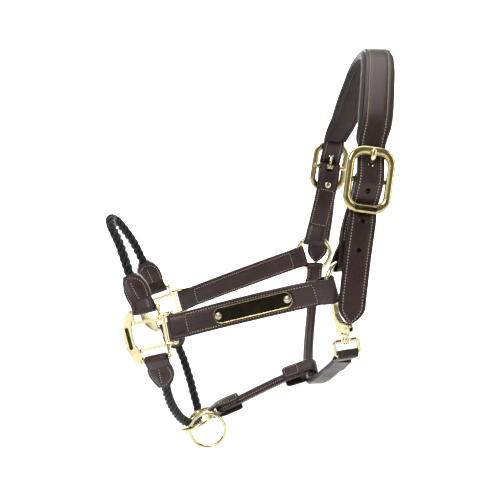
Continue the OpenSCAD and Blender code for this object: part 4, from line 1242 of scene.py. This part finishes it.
BAR_END = 14.9
PLATE_EDGE = [(-14.5, 28.3), (-17.4, 28.4), (-19.6, 27.2), (-22.9, 23.4), (-26.4, 16), (-28.5, 8), (-28.9, 0),
              (-27.7, -9.5), (-24.3, -18), (-19.4, -25), (-16.6, -27.5), (-14.3, -28.1), (-12.5, -27.2)]
OPENING_EDGE = [(-15.6, -12.2), (-17.6, -8), (-18.9, -1), (-19.1, 6), (-18.6, 12.2)]


def square(side):
    """The flat rim and front plate, the three strap bars on their arms, all cast as one."""
    half_w, half_h, rim = SQUARE_OPEN_W / 2, SQUARE_OPEN_H / 2, 3.5
    lo, hi = -SQUARE_T / 2, SQUARE_T / 2
    shape = Shape()
    for x0, x1, z0, z1 in ((-half_w - rim, half_w + rim, half_h, half_h + rim),
                           (-half_w - rim, half_w + rim, -half_h - rim, -half_h),
                           (half_w, half_w + rim, -half_h - 1, half_h + 1)):
        shape.solid([(x0, z0), (x1, z0), (x1, z1), (x0, z1)], at_square, (lo, hi))
    # Arms to the strap bars, waisted, with webs that round the corners between them
    arm = [2.4, 1.9, 1.7, 2.1]
    for bar, way, root in ((TOP_BAR, 1, half_h), (BOTTOM_BAR, -1, -half_h)):
        for s in (-1, 1):
            x, z = bar[0] + s * BAR_END, bar[2]
            line = [at_square((x, 0, q)) for q in (root, root + way * 4, z - way * 3, z)]
            shape.tube(line, arm, square_way(X))
    for s, corner in ((1, TOP_BAR), (-1, BOTTOM_BAR)):
        x, z = REAR_BAR[0], REAR_BAR[2] + s * BAR_END
        shape.tube([at_square((q, 0, z)) for q in (half_w, half_w + 4, x - 3, x)], arm, square_way(Z))
        x, z = corner[0] + BAR_END + 1.2, z + s * 1.2
        web = [(x - 1, z - s), (x + 6, z - s), (x + 5, z), (x + 2.4, z + s * 0.9), (x + 0.9, z + s * 2.4),
               (x, z + s * 5), (x - 1, z + s * 6)]
        shape.solid(web if s > 0 else web[::-1], at_square, (lo + 0.3, hi - 0.3))
    for bar, way in ((TOP_BAR, X), (BOTTOM_BAR, X), (REAR_BAR, Z)):
        line = [at_square(Vector(bar) + way * q) for q in (-BAR_END, -7, 0, 7, BAR_END)]
        shape.tube(line, SQUARE_BAR_R, square_way(Y), 16)
        # The ends beside the front plate are part of it
        for end in ((line[0], line[-1]) if bar is REAR_BAR else (line[-1],)):
            shape.ball(end, 2.75)
    plate = curved(PLATE_EDGE) + [(-12.5, -12.3)] + curved(OPENING_EDGE) + [(-14.5, 12.3)]
    shape.solid(plate, at_square, (lo, hi))
    name = side.name + "_square"
    piece = shape.make(name + "_cast", "straps", [BRASS], "brass", side.mirror)
    fused(piece, 0.32, 3)
    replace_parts(piece, name)
    # Plain recess on the front plate, leaning with the plate's edge, drawn as a dark slab laid on its face:
    # painted shade, the recess is not cut
    c, s = math.cos(math.radians(5)), math.sin(math.radians(5))
    spot = [(x * c - z * s - 23.2, x * s + z * c) for x, z in rounded_oblong(2.0, 11.6, 1.95, 6, 4)[::-1]]
    inlay = Shape()
    inlay.solid(spot, at_square, (hi - 0.6, hi + 0.06))
    inlay.make(name + "_cast_recess", "straps", [RECESS_SHADE], "brass", side.mirror)


for side in SIDES:
    square(side)


# ---------------------------------------------------------------- brass: snap
HOOK_MIDDLE, HOOK_IN, HOOK_OUT = 37.0, 5.7, 9.0
GATE_PIN = (4.6, 0, 13)
HOOK_SIDE = turned(SNAP_TURN, turned((0, 0, HOOK_TURN), Y))


def on_snap(p):
    return placed(SNAP_AT, SNAP_TURN, p)


def on_hook(p):
    return on_snap(turned((0, 0, HOOK_TURN), p))


def snap_eye():
    half = SNAP_EYE_W / 2 - SNAP_WIRE_R
    low = EYE_BAR_Z
    right = [(half - 1.5, low), (half, low + 1.5), (half, -1.5), (half - 1.5, 0), (4, 0)]
    eye = Shape()
    eye.tube([on_snap((x, 0, z)) for x, z in [(-x, z) for x, z in right[::-1]] + right], SNAP_WIRE_R + 0.3,
             turned(SNAP_TURN, Y), 16)
    hub = [(2.4, -1.9), (2.9, -1.9), (3.3, -1.5), (3.3, 1.9), (2.9, 2.4), (2.4, 2.4)]
    eye.lathe(SNAP_AT, turned(SNAP_TURN, Z), X, hub)
    piece = eye.make("snap_eye_cast", "straps", [BRASS], "brass")
    fused(piece, 0.3, 4)
    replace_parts(piece, "snap_eye")


def snap_body():
    body = Shape()
    swivel = [(1.5, -3.9), (2.5, -3.8), (2.9, -3.4), (2.9, -2.8), (2.6, -2.4), (2.5, -2.3), (2.5, 3.75),
              (3.9, 3.8), (4.2, 4.3), (4.2, 7.2), (3.7, 8.6), (3.4, 9.6)]
    body.lathe(SNAP_AT, turned(SNAP_TURN, Z), X, swivel)
    spine = [(-6.5, 8.5), (7.5, 8.5), (8.2, 10), (8, 14), (7, 16.5), (2.5, 17.2), (-1.2, 18.0), (-3.6, 21.5),
             (-HOOK_IN + 0.2, 26), (-HOOK_IN, HOOK_MIDDLE), (-HOOK_OUT, HOOK_MIDDLE), (-HOOK_OUT, 28),
             (-7.6, 16)]
    body.solid(spine, on_hook, (-3.6, 3.6))
    r = (HOOK_IN + HOOK_OUT) / 2
    line = [on_hook((r, 0, HOOK_MIDDLE - q)) for q in (6.2, 4, 2)]
    for k in range(25):
        a = math.pi * k / 24
        line.append(on_hook((r * math.cos(a), 0, HOOK_MIDDLE + r * math.sin(a))))
    sections = [oval(2.6 + 1.2 * min(1, i / 10), 1.72, 16) for i in range(len(line))]
    body.sweep(frames(line, HOOK_SIDE), sections)
    piece = body.make("snap_body_cast", "snap_body", [BRASS], "brass")
    fused(piece, 0.28, 4)
    # The slot that the gate works in
    cut(piece, box(on_hook, (-0.8, 12.5), (-2.3, 2.3), (9.5, 21.5)))
    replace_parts(piece, "snap_body")


def snap_gate():
    gate = Shape()
    gate.solid([(2.8, 12.5), (3.4, 11), (4.6, 10.4), (6, 11), (6.9, 12.8), (7.3, 17.6), (9.4, 18.6),
                (10.2, 20), (10, 22), (8.6, 23), (6.5, 24), (5.4, 33), (3.3, 33)], on_hook, (-1.1, 1.1))
    piece = gate.make("snap_gate_cast", "snap_gate", [BRASS], "brass")
    fused(piece, 0.2, 3)
    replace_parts(piece, "snap_gate")


def snap_pin_and_spring():
    pin = Shape()
    pin.lathe(on_hook(GATE_PIN), HOOK_SIDE, X, [(0.9, -4.2), (1.2, -4.0), (1.2, 4.0), (0.9, 4.2)], 20)
    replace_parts(pin.make("snap_pin_rivet", "snap_body", [ANTIQUE], "antique_brass"), "snap_pin")
    spring = Shape()
    middle = on_hook(Vector(GATE_PIN) + Y * 1.75)
    across = turned(SNAP_TURN, turned((0, 0, HOOK_TURN), X))
    turn = circle_points(middle, across, turned(SNAP_TURN, Z), 1.75, 24)
    spring.tube(turn, 0.34, HOOK_SIDE, 8, closed=True)
    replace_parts(spring.make("snap_spring_wire", "snap_body", [BRASS], "spring_steel"), "snap_spring")


snap_eye()
snap_body()
snap_gate()
snap_pin_and_spring()


# ---------------------------------------------------------------- stage and light
FLOOR_Z, WALL_Y, COVE_R = -0.62, 2.5, 0.9


def stage():
    """A pale floor that curves up into a wall, in metres."""
    look = Look("backdrop")
    grain = look.node("ShaderNodeTexNoise", Scale=90.0, Detail=4.0).outputs["Fac"]
    plain = {"Base Color": (0.92, 0.92, 0.92, 1), "Emission Color": (1, 1, 1, 1), "Emission Strength": 0.35,
             "Roughness": 0.9, "Specular IOR Level": 0.1}
    made = look.finished({"Normal": look.relief(grain, 0.02, 0.001)}, plain)
    turns = [math.radians(a) for a in range(6, 90, 6)]
    cove = [(WALL_Y - COVE_R + COVE_R * math.sin(t), COVE_R - COVE_R * math.cos(t)) for t in turns]
    profile = [(-3.0, 0.0), (WALL_Y - COVE_R, 0.0)] + cove + [(WALL_Y, COVE_R), (WALL_Y, 3.6)]
    verts = [(x, y, z + FLOOR_Z) for y, z in profile for x in (-4.0, 4.0)]
    faces = [[2 * i, 2 * i + 1, 2 * i + 3, 2 * i + 2] for i in range(len(profile) - 1)]
    mesh = bpy.data.meshes.new("backdrop")
    mesh.from_pydata(verts, [], faces)
    mesh.polygons.foreach_set("use_smooth", [True] * len(mesh.polygons))
    mesh.materials.append(made)
    floor = bpy.data.objects.new("backdrop", mesh)
    bpy.context.scene.collection.objects.link(floor)


def lamp(name, at, aim, size, power):
    data = bpy.data.lights.new(name, "AREA")
    data.shape = "RECTANGLE"
    data.size, data.size_y = size
    data.energy = power
    light = bpy.data.objects.new(name, data)
    light.location = at
    light.rotation_euler = (Vector(aim) - Vector(at)).to_track_quat("-Z", "Y").to_euler()
    bpy.context.scene.collection.objects.link(light)


stage()
middle = (-0.13, 0, -0.2)
lamp("key", (-1.0, -1.3, 0.9), middle, (0.8, 0.8), 20)
lamp("fill", (1.3, -0.9, 0.3), middle, (0.5, 1.4), 10)
lamp("top", (-0.1, 0.1, 1.5), middle, (1.6, 1.2), 22)
lamp("panel", (-1.35, -1.45, 0.08), (-0.25, -0.06, -0.28), (0.75, 0.7), 2.2)
lamp("back", (0.2, 1.7, 0.9), (-0.1, 2.4, 0.2), (3.0, 1.2), 60)
world = bpy.data.worlds.new("studio")
bpy.context.scene.world = world
world.use_nodes = True
background = world.node_tree.nodes["Background"]
background.inputs["Color"].default_value = (1, 1, 1, 1)
background.inputs["Strength"].default_value = 0.24
bpy.context.scene.view_settings.view_transform = "Standard"
